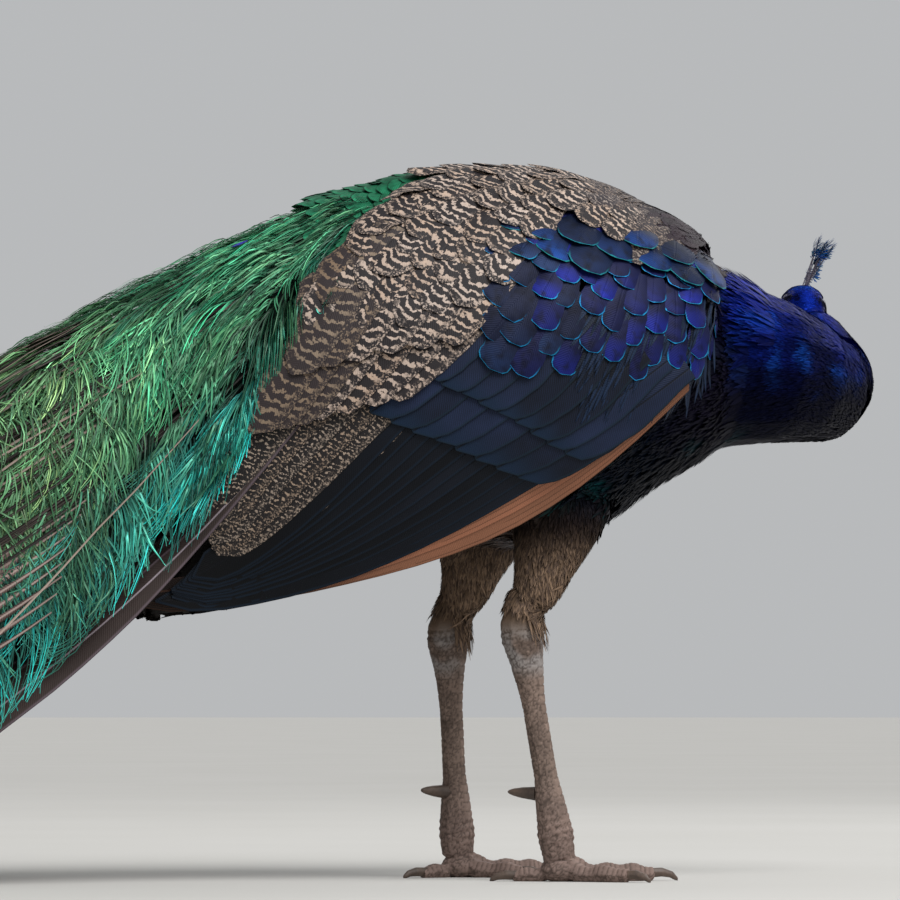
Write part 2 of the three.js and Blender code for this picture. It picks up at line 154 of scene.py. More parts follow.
class PeacockColours(bpy.types.PropertyGroup):
    cobalt: colour("Cobalt", "0E2790", "Neck")
    azure: colour("Azure", "1F68DC", "Bright crown and glints on the neck")
    night: colour("Night", "05071C", "Shaded underside of the neck")
    breast: colour("Breast", "051220", "Breast and belly")
    cream: colour("Cream", "D8C4B6", "Bars on the shoulder feathers")
    umber: colour("Umber", "2A2225", "Ground of the barred feathers")
    violet: colour("Violet", "1F2450", "Middle of the wing coverts")
    rim: colour("Rim", "1C86C4", "Edge of the wing coverts")
    slate: colour("Slate", "151B27", "Secondaries")
    chestnut: colour("Chestnut", "8E614A", "Primaries")
    emerald: colour("Emerald", "2C9268", "Train")
    gold: colour("Gold green", "93A868", "Loose barbs further down the train")
    turquoise: colour("Turquoise", "129C98", "Lower edge of the train")
    tail: colour("Tail", "4E423F", "Tail feathers")
    shaft: colour("Shaft", "CDB8AA", "Feather shafts of the train")
    leg: colour("Leg", "7A695F", "Scaly legs")
    horn: colour("Horn", "7E746A", "Bill and claws")
    skin: colour("Bare skin", "D9D5CC", "Bare skin of the face")


def rgb(colour_property):
    return np.array(colour_property[:3])


# ---- meshes ----


def linked(name, data):
    """A new object in the scene."""
    made = bpy.data.objects.new(name, data)
    bpy.context.scene.collection.objects.link(made)
    return made


def moved(mesh, points):
    """Puts a mesh's points in new places."""
    mesh.vertices.foreach_set("co", points.ravel())
    mesh.update()
    return mesh


def welded(name, swell=0.0):
    """A CAD node's points and triangles with its corners joined, moved out by swell."""
    shape = bmesh.new()
    shape.from_mesh(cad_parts[name].data)
    bmesh.ops.remove_doubles(shape, verts=shape.verts, dist=1e-6)
    shape.normal_update()
    points = np.array([v.co + v.normal * swell for v in shape.verts])
    faces = [[v.index for v in f.verts] for f in shape.faces]
    shape.free()
    return points, faces


def wrapped(solids, voxel, smoothing):
    """One closed mesh round several solids, whose narrow gaps it bridges."""
    points, faces, start = [], [], 0
    for more, cells in solids:
        points.append(more)
        faces += [[start + i for i in cell] for cell in cells]
        start += len(more)
    mesh = bpy.data.meshes.new("rough")
    mesh.from_pydata(np.concatenate(points).tolist(), [], faces)
    rough = linked("rough", mesh)
    wrap = rough.modifiers.new("wrap", "REMESH")
    wrap.mode = "VOXEL"
    wrap.voxel_size = voxel
    even = rough.modifiers.new("even", "SMOOTH")
    even.factor = 0.5
    even.iterations = smoothing
    return applied(rough)


def applied(rough):
    """The mesh that an object's modifiers make; the object goes."""
    made = bpy.data.meshes.new_from_object(rough.evaluated_get(bpy.context.evaluated_depsgraph_get()))
    bpy.data.objects.remove(rough)
    return made


def remeshed(names, voxel, smoothing):
    return wrapped([welded(name, swell=0.0006) for name in names], voxel, smoothing)


def united(mesh, others):
    """The union of closed meshes, with nothing left inside."""
    rough = linked("rough", mesh)
    tools = []
    for other in others:
        tool = linked("tool", other)
        tools.append(tool)
        join = rough.modifiers.new("join", "BOOLEAN")
        join.operation = "UNION"
        join.solver = "MANIFOLD"
        join.object = tool
    made = applied(rough)
    for tool in tools:
        bpy.data.objects.remove(tool)
    made.materials.clear()
    return made


def coordinates(mesh):
    points = np.empty(len(mesh.vertices) * 3)
    mesh.vertices.foreach_get("co", points)
    return points.reshape(-1, 3)


def point_normals(mesh):
    normals = np.empty(len(mesh.vertices) * 3)
    mesh.vertex_normals.foreach_get("vector", normals)
    return normals.reshape(-1, 3)


def quad_mesh(name, points, quads):
    mesh = bpy.data.meshes.new(name)
    mesh.vertices.add(len(points))
    mesh.vertices.foreach_set("co", np.ascontiguousarray(points, np.float32).ravel())
    mesh.loops.add(quads.size)
    mesh.loops.foreach_set("vertex_index", quads.astype(np.int32).ravel())
    mesh.polygons.add(len(quads))
    mesh.polygons.foreach_set("loop_start", np.arange(0, quads.size, 4, dtype=np.int32))
    mesh.update(calc_edges=True)
    mesh.shade_smooth()
    return mesh


def note(mesh, name, values):
    """Keeps a vector on every point of a mesh, for its material."""
    layer = mesh.attributes.new(name, "FLOAT_VECTOR", "POINT")
    layer.data.foreach_set("vector", np.ascontiguousarray(values, np.float32).ravel())


def bake_map(mesh, places):
    """Stores the map that colours are baked on, from one place for each point."""
    corners = np.empty(len(mesh.loops), np.int32)
    mesh.loops.foreach_get("vertex_index", corners)
    layer = mesh.uv_layers.new(name="OFBake")
    layer.data.foreach_set("uv", np.ascontiguousarray(places[corners], np.float32).ravel())


def add_piece(name, mesh, material, nodes=()):
    piece = linked(name, mesh)
    if material:
        mesh.materials.append(material)
    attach(piece, "root")
    if nodes:
        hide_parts(*nodes)
    return piece


class Surface:
    """A closed mesh that feathers lie on."""

    def __init__(self, mesh):
        points = coordinates(mesh)
        cells = [tuple(p.vertices) for p in mesh.polygons]
        normals = point_normals(mesh)
        self.soft = unit(np.array([normals[list(cell)].mean(axis=0) for cell in cells]))
        self.tree = BVHTree.FromPolygons(points.tolist(), cells)
        self.points, self.cells = points, cells

    def near(self, points):
        found = [self.tree.find_nearest(p) for p in points.tolist()]
        places = np.array([tuple(f[0]) for f in found])
        return places, self.soft[[f[2] for f in found]]

    def hit(self, start, way):
        place, _, index, _ = self.tree.ray_cast(start, way)
        return (None, None) if place is None else (np.array(place), self.soft[index])

    def scatter(self, density, rng):
        """Random places spread evenly over the surface, so many to the square metre."""
        quads = np.array([c if len(c) == 4 else (*c[:3], c[2]) for c in self.cells])
        a, b, c, d = (self.points[quads[:, i]] for i in range(4))
        areas = np.linalg.norm(np.cross(c - a, d - b), axis=1) / 2
        count = rng.poisson(areas * density)
        index = np.repeat(np.arange(len(quads)), count)
        u, v = rng.random((2, len(index), 1))
        low, high = a[index] * (1 - u) + b[index] * u, d[index] * (1 - u) + c[index] * u
        return low * (1 - v) + high * v, self.soft[index]

    def lay(self, roots, headings, lengths, steps):
        """Lines that run over the surface from each root, and its normals along them."""
        place, normal = self.near(roots)
        way = tangent(headings, normal)
        places, normals = [place], [normal]
        for _ in range(steps):
            place, normal = self.near(place + way * (lengths / steps)[:, None])
            way = tangent(way, normal)
            places.append(place)
            normals.append(normal)
        return np.stack(places, 1), np.stack(normals, 1)


class Owners:
    """Tells which CAD node is nearest to a place."""

    def __init__(self, names):
        points, faces, owner, start = [], [], [], 0
        for name in names:
            more, cells = welded(name)
            faces += [[start + i for i in cell] for cell in cells]
            owner += [name] * len(cells)
            points.append(more)
            start += len(more)
        self.tree = BVHTree.FromPolygons(np.concatenate(points).tolist(), faces)
        self.owner = np.array(owner)

    def of(self, points):
        return self.owner[[self.tree.find_nearest(p)[2] for p in points.tolist()]]


# ---- the head's own frame ----

EYE_AHEAD, EYE_OUT, EYE_UP = 5.0, 11.5, 3.0  # mm, in the head's frame
FACE_MIDDLE = np.array([4, 0, 0])  # mm, in the head's frame
BILL_DROP = math.atan2(13.5, 46.0)  # the bill's tip is this far below the line ahead of the eyes


@functools.cache
def head_matrix():
    left, right = middle(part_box("eye_left")), middle(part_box("eye_right"))
    eyes = (left + right) / 2
    across = (left - right).normalized()
    beak, _ = welded("bill_upper")
    tip = Vector(max(beak, key=lambda p: (Vector(p) - eyes).length))
    ahead = tip - eyes
    ahead = (ahead - across * ahead.dot(across)).normalized()
    ahead = Matrix.Rotation(-BILL_DROP, 3, across) @ ahead
    up = ahead.cross(across)
    turn = np.array([ahead, across, up]).T
    start = np.array(eyes) - turn @ np.array([EYE_AHEAD, 0, EYE_UP]) * MM
    return turn, start


def in_head(points):
    turn, start = head_matrix()
    return (points - start) @ turn / MM


def from_head(points):
    turn, start = head_matrix()
    return np.asarray(points, float) * MM @ turn.T + start


def from_face(points):
    """Distance from the middle of the face, in mm."""
    return np.linalg.norm(in_head(points) - FACE_MIDDLE, axis=1)


# ---- body line, which runs from the bill to the tail root ----


@functools.cache
def spine():
    names = ("train_upper", "train_root", "trunk", "neck_lower", "neck_middle", "neck_upper", "head")
    stops = [np.array(middle(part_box(n))) for n in names]
    stops.append(from_head([[40, 0, 0]])[0])
    line = np.array(stops)
    return line, np.concatenate([[0], np.cumsum(np.linalg.norm(np.diff(line, axis=0), axis=1))])


def along_spine(points):
    """Distance along the body line, the direction towards the tail, and the angle round the line."""
    line, reach = spine()
    best = np.full(len(points), np.inf)
    share, tail = np.zeros(len(points)), np.zeros((len(points), 3))
    foot = np.zeros((len(points), 3))
    for a, b, start in zip(line[:-1], line[1:], reach[:-1]):
        step = b - a
        size = np.linalg.norm(step)
        t = np.clip((points - a) @ step / size**2, 0, 1)
        at = a + t[:, None] * step
        gap = np.linalg.norm(points - at, axis=1)
        nearer = gap < best
        best[nearer], share[nearer] = gap[nearer], (start + t * size)[nearer]
        tail[nearer], foot[nearer] = -step / size, at[nearer]
    out = points - foot
    side = unit(np.cross([0, 0, 1.0], -tail))
    angle = np.arctan2(np.sum(out * side, axis=1), out[:, 2])
    return share, tail, angle


def unrolled(points):
    """Places on an unwrap of the skin: length along the body line, and the angle round it."""
    share, _, angle = along_spine(points)
    spread = share - share.min()
    return np.stack([0.01 + 0.98 * spread / max(spread.max(), 1e-6), 0.5 + 0.49 * angle / math.pi], 1)


# ---- feathers ----

TUFT_PATCH = 0.003  # width of a tuft's patch on its map


def outline(stations, base=0.35, widest=0.62, power=2.2):
    """Width of a vane from root to tip, as a share of its greatest width."""
    t = np.linspace(0, 1, stations)
    tip = np.sqrt(1 - np.clip((t - widest) / (1 - widest), 0, 1) ** power)
    return (base + (1 - base) * smoothstep(0, widest * 0.8, t)) * np.maximum(tip, 0.08)


def vanes(lines, normals, half, profile, rng, across=2, base=0.0, lift=0.001, camber=0.1, fray=0.0,
          tilt=0.0, roll=0.0, places=None, sheet=False):
    """Mesh of many feathers. Each is a strip along its line, as wide as half times the profile.

    base and lift give its height over the surface at the root and what it gains towards the tip; tilt
    raises one edge, and roll turns each feather a little its own way. places are its spots on the map.
    """
    count, stations = lines.shape[:2]
    share = np.linspace(0, 1, stations)
    way = unit(np.gradient(lines, axis=1))
    side = unit(np.cross(normals, way))
    u = np.linspace(-1, 1, across + 1)
    width = np.broadcast_to(half, (count,))[:, None] * profile
    reach = width[:, :, None] * u
    if fray:
        reach = reach * (1 + fray * (rng.random((count, stations, across + 1)) - 0.6) * (abs(u) > 0.9))
    height = np.broadcast_to(base, (count,))[:, None] + np.broadcast_to(lift, (count,))[:, None] * share
    slope = tilt + np.tan(roll) * rng.normal(0, 1, (count, 1, 1)) if roll else tilt
    arch = height[:, :, None] - camber * width[:, :, None] * u**2 + slope * reach
    grid = lines[:, :, None] + side[:, :, None] * reach[..., None] + normals[:, :, None] * arch[..., None]
    grid[..., 2] = np.maximum(grid[..., 2], FLOOR_GAP)
    cell = (np.arange(stations - 1)[:, None] * (across + 1) + np.arange(across))[..., None]
    cell = cell + np.array([0, 1, across + 2, across + 1])
    per_feather = stations * (across + 1)
    quads = (np.arange(count)[:, None, None, None] * per_feather + cell).reshape(-1, 4)
    mesh = quad_mesh("vanes", grid.reshape(-1, 3), quads)

    size = np.sum(np.linalg.norm(np.diff(lines, axis=1), axis=2), axis=1)
    chance = rng.random(count)
    edge = np.minimum(width[:, :, None] * (1 - abs(u)), (size[:, None] * (1 - share) + 0.0004)[:, :, None])
    full = np.ones_like(reach)
    along = full * (size[:, None] * share)[:, :, None]
    note(mesh, "vane", np.stack([reach / MM, along / MM, full * chance[:, None, None] * 50], -1))
    note(mesh, "share", np.stack([full * share[:, None], edge / MM, full * chance[:, None, None]], -1))
    spot = np.stack(np.broadcast_arrays(u / 2 + 0.5, share[:, None]), -1)
    if sheet:
        side_count = math.ceil(math.sqrt(count))
        index = np.arange(count)
        corner = np.stack([index % side_count, index // side_count], -1) / side_count
        spots = corner[:, None, None] + spot * (0.92 / side_count) + 0.04 / side_count
    else:
        places = unrolled(lines[:, 0]) if places is None else places
        spots = places[:, None, None] + (spot - 0.5) * TUFT_PATCH
    bake_map(mesh, spots.reshape(-1, 2))
    return mesh


def painted(mesh, colours, strength):
    """Gives each feather of a joined mesh its colour, from root to tip by strength."""
    count, stations = len(colours), len(strength)
    across = len(mesh.vertices) // (count * stations)
    values = colours[:, None, None] * np.asarray(strength)[:, None, None]
    note(mesh, "plumage", np.broadcast_to(values, (count, stations, across, 3)))
    return mesh


ROUND_TIP = outline(11, 0.4, 0.6, 2.4)
LONG_VANE = outline(18, 0.3, 0.86, 2.0)
SMALL_TUFT = np.array([0.5, 1.0, 0.75, 0.12])


# ---- material nodes ----


# The nodes used here, by short names: kind, settings, inputs in order, and the output that is used.
NODES = {
    "mix": ("Mix", {"data_type": "RGBA"}, ("Factor", 6, 7), 2),
    "ramp": ("MapRange", {"interpolation_type": "SMOOTHSTEP"}, ("Value", "From Min", "From Max"), 0),
    "noise": ("TexNoise", {}, ("Vector", "Scale", "Detail"), 0),
    "times": ("VectorMath", {"operation": "MULTIPLY"}, (0, 1), 0),
    "bump": ("Bump", {}, ("Height", "Distance", "Strength"), 0),
    "colour": ("Attribute", {}, (), "Color"),
    "vector": ("Attribute", {}, (), "Vector"),
    "place": ("TexCoord", {}, (), "Object"),
    "parts": ("SeparateXYZ", {}, (0,), None),
}


def add(tree, name, *values, **settings):
    """Adds a node and feeds its inputs with values or sockets. A name not in NODES is a sum's operation."""
    kind, fixed, inputs, output = NODES.get(name, ("Math", {"operation": name}, range(3), 0))
    made = tree.nodes.new("ShaderNode" + kind)
    for key, value in {**fixed, **settings}.items():
        setattr(made, key, value)
    for key, value in zip(inputs, values):
        if isinstance(value, bpy.types.NodeSocket):
            tree.links.new(value, made.inputs[key])
        else:
            made.inputs[key].default_value = value
    return made.outputs if output is None else made.outputs[output]


def lead(socket, shader, name="Base Color"):
    """Leads a socket into the shader."""
    shader.id_data.links.new(socket, shader.inputs[name])


def surface_material(name, **values):
    """A material, what adds nodes to it, and its one shader, with the values that are the same all over."""
    material = bpy.data.materials.new(name)
    material.use_nodes = True
    shader = material.node_tree.nodes["Principled BSDF"]
    shader.inputs["Specular IOR Level"].default_value = 0.3
    for key, value in values.items():
        shader.inputs[key.replace("_", " ").title().replace("Ior", "IOR")].default_value = value
    return material, functools.partial(add, material.node_tree), shader


def four(values):
    return (*[float(v) for v in values[:3]], 1.0)


def vane_places(node):
    """Sockets of a feather's own places: (across, along, chance) in mm, and (share, edge, chance)."""
    flat = node("vector", attribute_name="vane")
    where = node("vector", attribute_name="share")
    across, along, _ = node("parts", flat)
    share, edge, chance = node("parts", where)
    return flat, across, along, share, edge, chance


BARB_PITCH = 1.7  # mm; real barbs are about 0.4 apart, drawn coarser so that they show
RIDGE_HEIGHT = 0.12 * MM


def barb_relief(node, shader, across, along):
    """Fine ridges that slant from the shaft to the edge, and the shaft itself. Gives the height of each."""
    slant = node("MULTIPLY", node("ABSOLUTE", across), 0.9)
    line = node("SUBTRACT", along, slant)
    ridge = node("SINE", node("MULTIPLY", line, 2 * math.pi / BARB_PITCH))
    rachis = node("ramp", node("ABSOLUTE", across), 0.9, 0.2)
    height = node("MULTIPLY_ADD", ridge, 0.3, rachis)
    lead(node("bump", height, RIDGE_HEIGHT, 0.9), shader, "Normal")
    return ridge, rachis


def texture(node, place, scale, detail=2.0, stretch=(1.0, 1.0, 1.0)):
    """Noise with scale features to the unit of place: a millimetre on a feather, a metre elsewhere."""
    return node("noise", node("times", place, stretch), scale, detail)


def barred_vane(name, period, breakup, ground, bars, fine, level=0.1):
    """Keratin vane, pigmented in wavy bars: cream bars with ragged edges on a dark ground, quite matt."""
    material, node, shader = surface_material(name, roughness=0.62, ior=1.54)
    flat, across, along, _, edge, chance = vane_places(node)
    sway = node("MULTIPLY_ADD", texture(node, flat, 0.09, 1.0), 10.0, -5.0)
    zigzag = node("MULTIPLY_ADD", texture(node, flat, 0.35, 2.0), 4.0, -2.0)
    bow = node("MULTIPLY", node("ABSOLUTE", across), 0.35)
    line = node("ADD", node("ADD", along, sway), node("ADD", bow, zigzag))
    wave = node("SINE", node("MULTIPLY", line, 2 * math.pi / period))
    ragged = node("MULTIPLY_ADD", texture(node, flat, fine, 2.0), breakup * 1.6, -breakup * 0.8)
    mask = node("ramp", node("ADD", wave, ragged), level, level + 0.4)
    speck = node("ramp", texture(node, flat, 0.8, 2.0), 0.5, 0.62)
    outer = node("ramp", node("MULTIPLY_ADD", texture(node, flat, 0.2), 6.0, edge), 9.0, 4.0)
    mask = node("mix", node("MULTIPLY", outer, 0.85), mask, speck)
    warm = node("mix", chance, four(bars * 1.1), four(bars * np.array([0.9, 0.76, 0.62])))
    warm = node("mix", texture(node, flat, 0.3), warm, four(bars * 0.6))
    marked = node("mix", mask, four(ground), warm)
    # Darker along the very edge: painted shade where the feather's edge lies over the next.
    rim = node("MULTIPLY", node("ramp", edge, 0.5, 0.1), 0.4)
    lead(node("mix", rim, marked, four(ground * 0.5)), shader)
    barb_relief(node, shader, across, along)
    return material


def rimmed_vane(name, middle_tone, rim_tone, painted_highlight, rim_width=1.3, metallic=0.35):
    """Keratin vane with structural colour: a dusky middle, a painted highlight towards the outer part of some
    feathers, and a bright metallic edge.
    """
    material, node, shader = surface_material(
        name, roughness=0.5, metallic=metallic, ior=1.54, specular_ior_level=0.14
    )
    flat, across, along, share, edge, chance = vane_places(node)
    worn = node("MULTIPLY_ADD", texture(node, flat, 0.25), 1.6, node("ADD", edge, -0.8))
    rim = node("ramp", worn, rim_width, rim_width * 0.35)
    # Painted highlight: towards its outer part, a feather takes the brighter tone, the more so the higher its
    # chance.
    outer = node("ramp", share, 0.35, 0.95)
    patch = texture(node, flat, 0.12, 2.0)
    body = node("mix", node("MULTIPLY", outer, node("POWER", chance, 1.6)), four(middle_tone), four(painted_highlight))
    body = node("mix", node("ramp", patch, 0.4, 0.75), body, four(middle_tone * 0.5))
    ridge, _ = barb_relief(node, shader, across, along)
    body = node("mix", node("MULTIPLY_ADD", ridge, 0.12, 0.12), body, four(middle_tone * 0.35))
    bright = node("mix", chance, four(rim_tone), four(rim_tone * np.array([0.45, 1.15, 0.85])))
    rim = node("MULTIPLY", rim, node("ramp", share, 0.62, 0.92))
    lead(node("mix", rim, body, bright), shader)
    return material


def plain_vane(name, body_tone, accent, tip, roughness=0.5, metallic=0.0, shaft=None, streak=0.3,
               tip_from=0.75, rim=None):
    """Keratin vane of one pigment: fine barbs show as streaks, with its shaft a tone apart."""
    material, node, shader = surface_material(
        name, roughness=roughness, metallic=metallic, ior=1.54, specular_ior_level=0.14
    )
    flat, across, along, share, edge, chance = vane_places(node)
    ridge, rachis = barb_relief(node, shader, across, along)
    patch = texture(node, flat, 0.035, 3.0, (1.0, 0.5, 1.0))
    drift = node("MULTIPLY_ADD", ridge, streak * 0.4, node("MULTIPLY_ADD", chance, 0.5, patch))
    body = node("mix", node("ramp", drift, 0.35, 1.25), four(body_tone), four(accent))
    body = node("mix", node("ramp", share, tip_from, 0.98), body, four(tip))
    if shaft is not None:
        body = node("mix", node("MULTIPLY", rachis, 0.85), body, four(shaft))
    if rim is not None:
        body = node("mix", node("MULTIPLY", node("ramp", edge, 2.4, 0.9), 0.6), body, four(rim))
    shade = node("MULTIPLY", node("ramp", edge, 0.8, 0.15), 0.6)
    lead(node("mix", shade, body, four(body_tone * 0.25)), shader)
    return material


def coat_material(name, roughness, metallic, sheen, grain=0.9):
    """Short contour feathers: each tuft keeps its own colour, broken by fine barbs, and glints in sheen."""
    material, node, shader = surface_material(
        name, roughness=roughness, metallic=metallic, ior=1.54, specular_ior_level=0.1,
        specular_tint=four(tone(sheen)),
    )
    own = node("colour", attribute_name="plumage")
    flat = node("vector", attribute_name="vane")
    streak = texture(node, flat, grain, 2.0, (1.0, 0.2, 1.0))
    dark = node("times", own, (0.4, 0.42, 0.5))
    lead(node("mix", node("ramp", streak, 0.35, 0.62), dark, own), shader)
    return material


def barb_material(name):
    """Loose train barbs: flattened keratin with structural colour, bright and slightly metallic."""
    material, node, shader = surface_material(name, roughness=0.4, metallic=0.3, ior=1.54)
    own = node("colour", attribute_name="plumage")
    lead(own, shader)
    return material


def skin_material(name):
    """Thin bird skin with down: matt, finely pimpled, in the colour of the feathers that hide it."""
    material, node, shader = surface_material(name, roughness=0.72, ior=1.4)
    own = node("colour", attribute_name="plumage")
    place = node("place")
    grain = texture(node, place, 900.0, 3.0)
    dark = node("times", own, (0.7, 0.68, 0.68))
    lead(node("mix", grain, dark, own), shader)
    lead(node("bump", grain, 0.3 * MM, 0.6), shader, "Normal")
    return material


# ---- colours of the coat, the same for skin and feathers ----


def bare_face(head_points):
    """1 on the two strips of bare white skin on each side of the face, in the head's frame."""
    x, y, z = head_points.T
    brow = np.exp(-(((z - (10.6 - 0.011 * (x - 4) ** 2)) / 2.0) ** 4))
    brow = brow * smoothstep(-17, -12, x) * smoothstep(24, 18, x)
    cheek_middle = -6.2 + 0.017 * (x - 2) ** 2
    cheek = np.exp(-(((z - cheek_middle) / (4.4 - 0.010 * (x - 2) ** 2)) ** 4))
    cheek = cheek * smoothstep(-14, -9, x) * smoothstep(23, 17, x)
    return np.maximum(brow, cheek) * smoothstep(7.5, 9.5, abs(y))


def plumage(points, normals, colours):
    """Colour of the coat at each place, with painted light and shade: lighter where it faces up, darker where
    it faces down, and painted glints.
    """
    x, _, z = local(points).T
    neck = smoothstep(96, 172, x) * smoothstep(255, 330, z + 0.25 * (x - 100))
    # facing_up sets painted light and shade: the coat is painted lighter on top and darker underneath.
    facing_up = np.clip(normals[:, 2] * 0.5 + 0.5, 0, 1)
    breast = rgb(colours.breast)
    # Breast: painted shade underneath, painted light on top.
    tint = mix(breast * 0.55, breast * 1.3, smoothstep(0.1, 0.8, facing_up))
    green_glint = cloud(points, 45)
    tint = mix(tint, tone("0C4A48"), smoothstep(0.55, 0.8, green_glint) * 0.6)
    # Neck: painted shade in the night colour underneath, cobalt on top.
    blue = mix(rgb(colours.night), rgb(colours.cobalt), smoothstep(0.34, 0.97, facing_up))
    # Painted shade in soft upright patches, as in the folds of the neck's plumage.
    fold = cloud(points, np.array([26, 26, 9]))
    shade = mix(rgb(colours.night), rgb(colours.cobalt) * 0.55, smoothstep(0.55, 0.9, facing_up))
    blue = mix(blue, shade, smoothstep(0.5, 0.75, fold) * 0.8)
    glint = cloud(points, 60, 9)
    lit = smoothstep(0.3, 0.8, facing_up)
    blue = mix(blue, rgb(colours.azure), smoothstep(0.52, 0.9, glint) * 0.55 * lit)
    tint = mix(tint, blue, neck)
    collar = smoothstep(88, 104, x) * smoothstep(158, 140, x) * smoothstep(270, 310, z)
    tint = mix(tint, tone("130F1C"), collar * 0.85)
    tint = mix(tint, tone("3A2C34"), smoothstep(386, 396, z) * smoothstep(140, 130, x))
    legs = smoothstep(262, 232, z) * smoothstep(-75, -50, x) * smoothstep(75, 60, x)
    brown = mix(tone("2A221F"), tone("7A6553"), smoothstep(238, 205, z))
    tint = mix(tint, brown, legs)
    vent = smoothstep(-90, -140, x) * smoothstep(330, 300, z)
    tint = mix(tint, tone("1A1614"), vent)
    head = in_head(points)
    near = from_face(points)
    crown = smoothstep(44, 22, near)
    # The crown is cobalt, with azure towards its top as a painted highlight.
    bright = mix(rgb(colours.cobalt), rgb(colours.azure), smoothstep(8, 17, head[:, 2]) * 0.8)
    tint = mix(tint, bright, crown)
    lore = np.exp(-(((head[:, 2] - 2.5) / 3.2) ** 4)) * smoothstep(7, 9, abs(head[:, 1])) * crown
    tint = mix(tint, tone("0A0C1E"), lore)
    return mix(tint, rgb(colours.skin), bare_face(head) * (near < 40))


# ---- the skin ----

SKIN_VOXEL = 0.0032
LID_OPENING = 4.7  # mm from the eye's axis to the lids' edge
EYE_RADIUS = 6.6


@functools.cache
def body_mesh():
    """The flesh with the folded wings, closed and even, with a finer head."""
    mesh = remeshed([*FLESH, "eye_left", "eye_right", *WINGS, "mantle"], SKIN_VOXEL, 6)
    shape = bmesh.new()
    shape.from_mesh(mesh)
    points = np.array([v.co for v in shape.verts])
    near = from_face(points) < 34
    edges = [e for e in shape.edges if near[e.verts[0].index] and near[e.verts[1].index]]
    bmesh.ops.subdivide_edges(shape, edges=edges, cuts=3, use_grid_fill=True)
    points = np.array([v.co for v in shape.verts])
    near = from_face(points) < 33
    head = [v for v, inside in zip(shape.verts, near) if inside]
    every_way = {"use_axis_x": True, "use_axis_y": True, "use_axis_z": True}
    for _ in range(4):
        bmesh.ops.smooth_vert(shape, verts=head, factor=0.5, **every_way)
    shape.to_mesh(mesh)
    shape.free()
    return mesh


def coat_depth(points):
    """How far the skin lies under the outline of the coat."""
    from_eyes = from_face(points)
    deep = 1.2 + 4.8 * smoothstep(24, 150, from_eyes)
    bird = local(points)
    on_leg = smoothstep(258, 235, bird[:, 2]) * smoothstep(-75, -50, bird[:, 0])
    return (deep * (1 - on_leg) + 3.2 * on_leg) * MM


def shape_face(points):
    """Sinks the eye openings, raises the lids round them, and the brows over them."""
    head = in_head(points)
    for sign in SIDES.values():
        x, out, z = head[:, 0] - EYE_AHEAD, head[:, 1] * sign, head[:, 2] - EYE_UP
        ring = np.hypot(x / 1.1, z)
        ball = EYE_OUT + np.sqrt(np.clip(EYE_RADIUS**2 - ring**2, 0, None))
        lid = ball + 0.75 * np.exp(-(((ring - LID_OPENING - 0.9) / 0.8) ** 2)) - 0.15
        wanted = np.where(ring < LID_OPENING, ball - 1.5, lid)
        share = (1 - smoothstep(6.0, 8.2, ring)) * (out > 5)
        head[:, 1] += sign * (wanted - out) * share
        brow = np.exp(-((z - 8.2) ** 2) / 5 - ((x + 1) / 11) ** 2) * (out > 5)
        head[:, 1] += sign * 0.7 * brow
        lore = np.exp(-((z + 0.5) ** 2) / 9 - ((x - 12) / 5) ** 2) * (out > 3)
        head[:, 1] -= sign * 0.8 * lore
    return from_head(head)


HOCK_HEIGHT = 163.0  # mm: below this the leg is bare and scaly


def leg_axis(side):
    """The shank's lower end and the direction up it."""
    points, _ = welded(f"tarsus_{side}")
    low, high = points[:, 2].min(), points[:, 2].max()
    foot = points[points[:, 2] < low + 12 * MM].mean(axis=0)
    knee = points[points[:, 2] > high - 25 * MM].mean(axis=0)
    return foot, unit(knee - foot)


def leg_mesh(side):
    """Shank and foot as one fine mesh, whose shank runs on into the thigh and into the foot."""
    foot, axis = leg_axis(side)
    points, faces = welded(f"tarsus_{side}", 0.0005)
    height = (points - foot) @ axis / MM
    top = np.where(height > height.max() - 8, 1.0, 0.0)[:, None] * MM
    points = points + (axis * 11 + np.array([5.0, 0, 0])) * top
    points = points - axis * np.where(height < height.min() + 6, 7, 0)[:, None] * MM
    return wrapped([(points, faces), welded(f"foot_{side}", 0.0009)], 0.0010, 3)


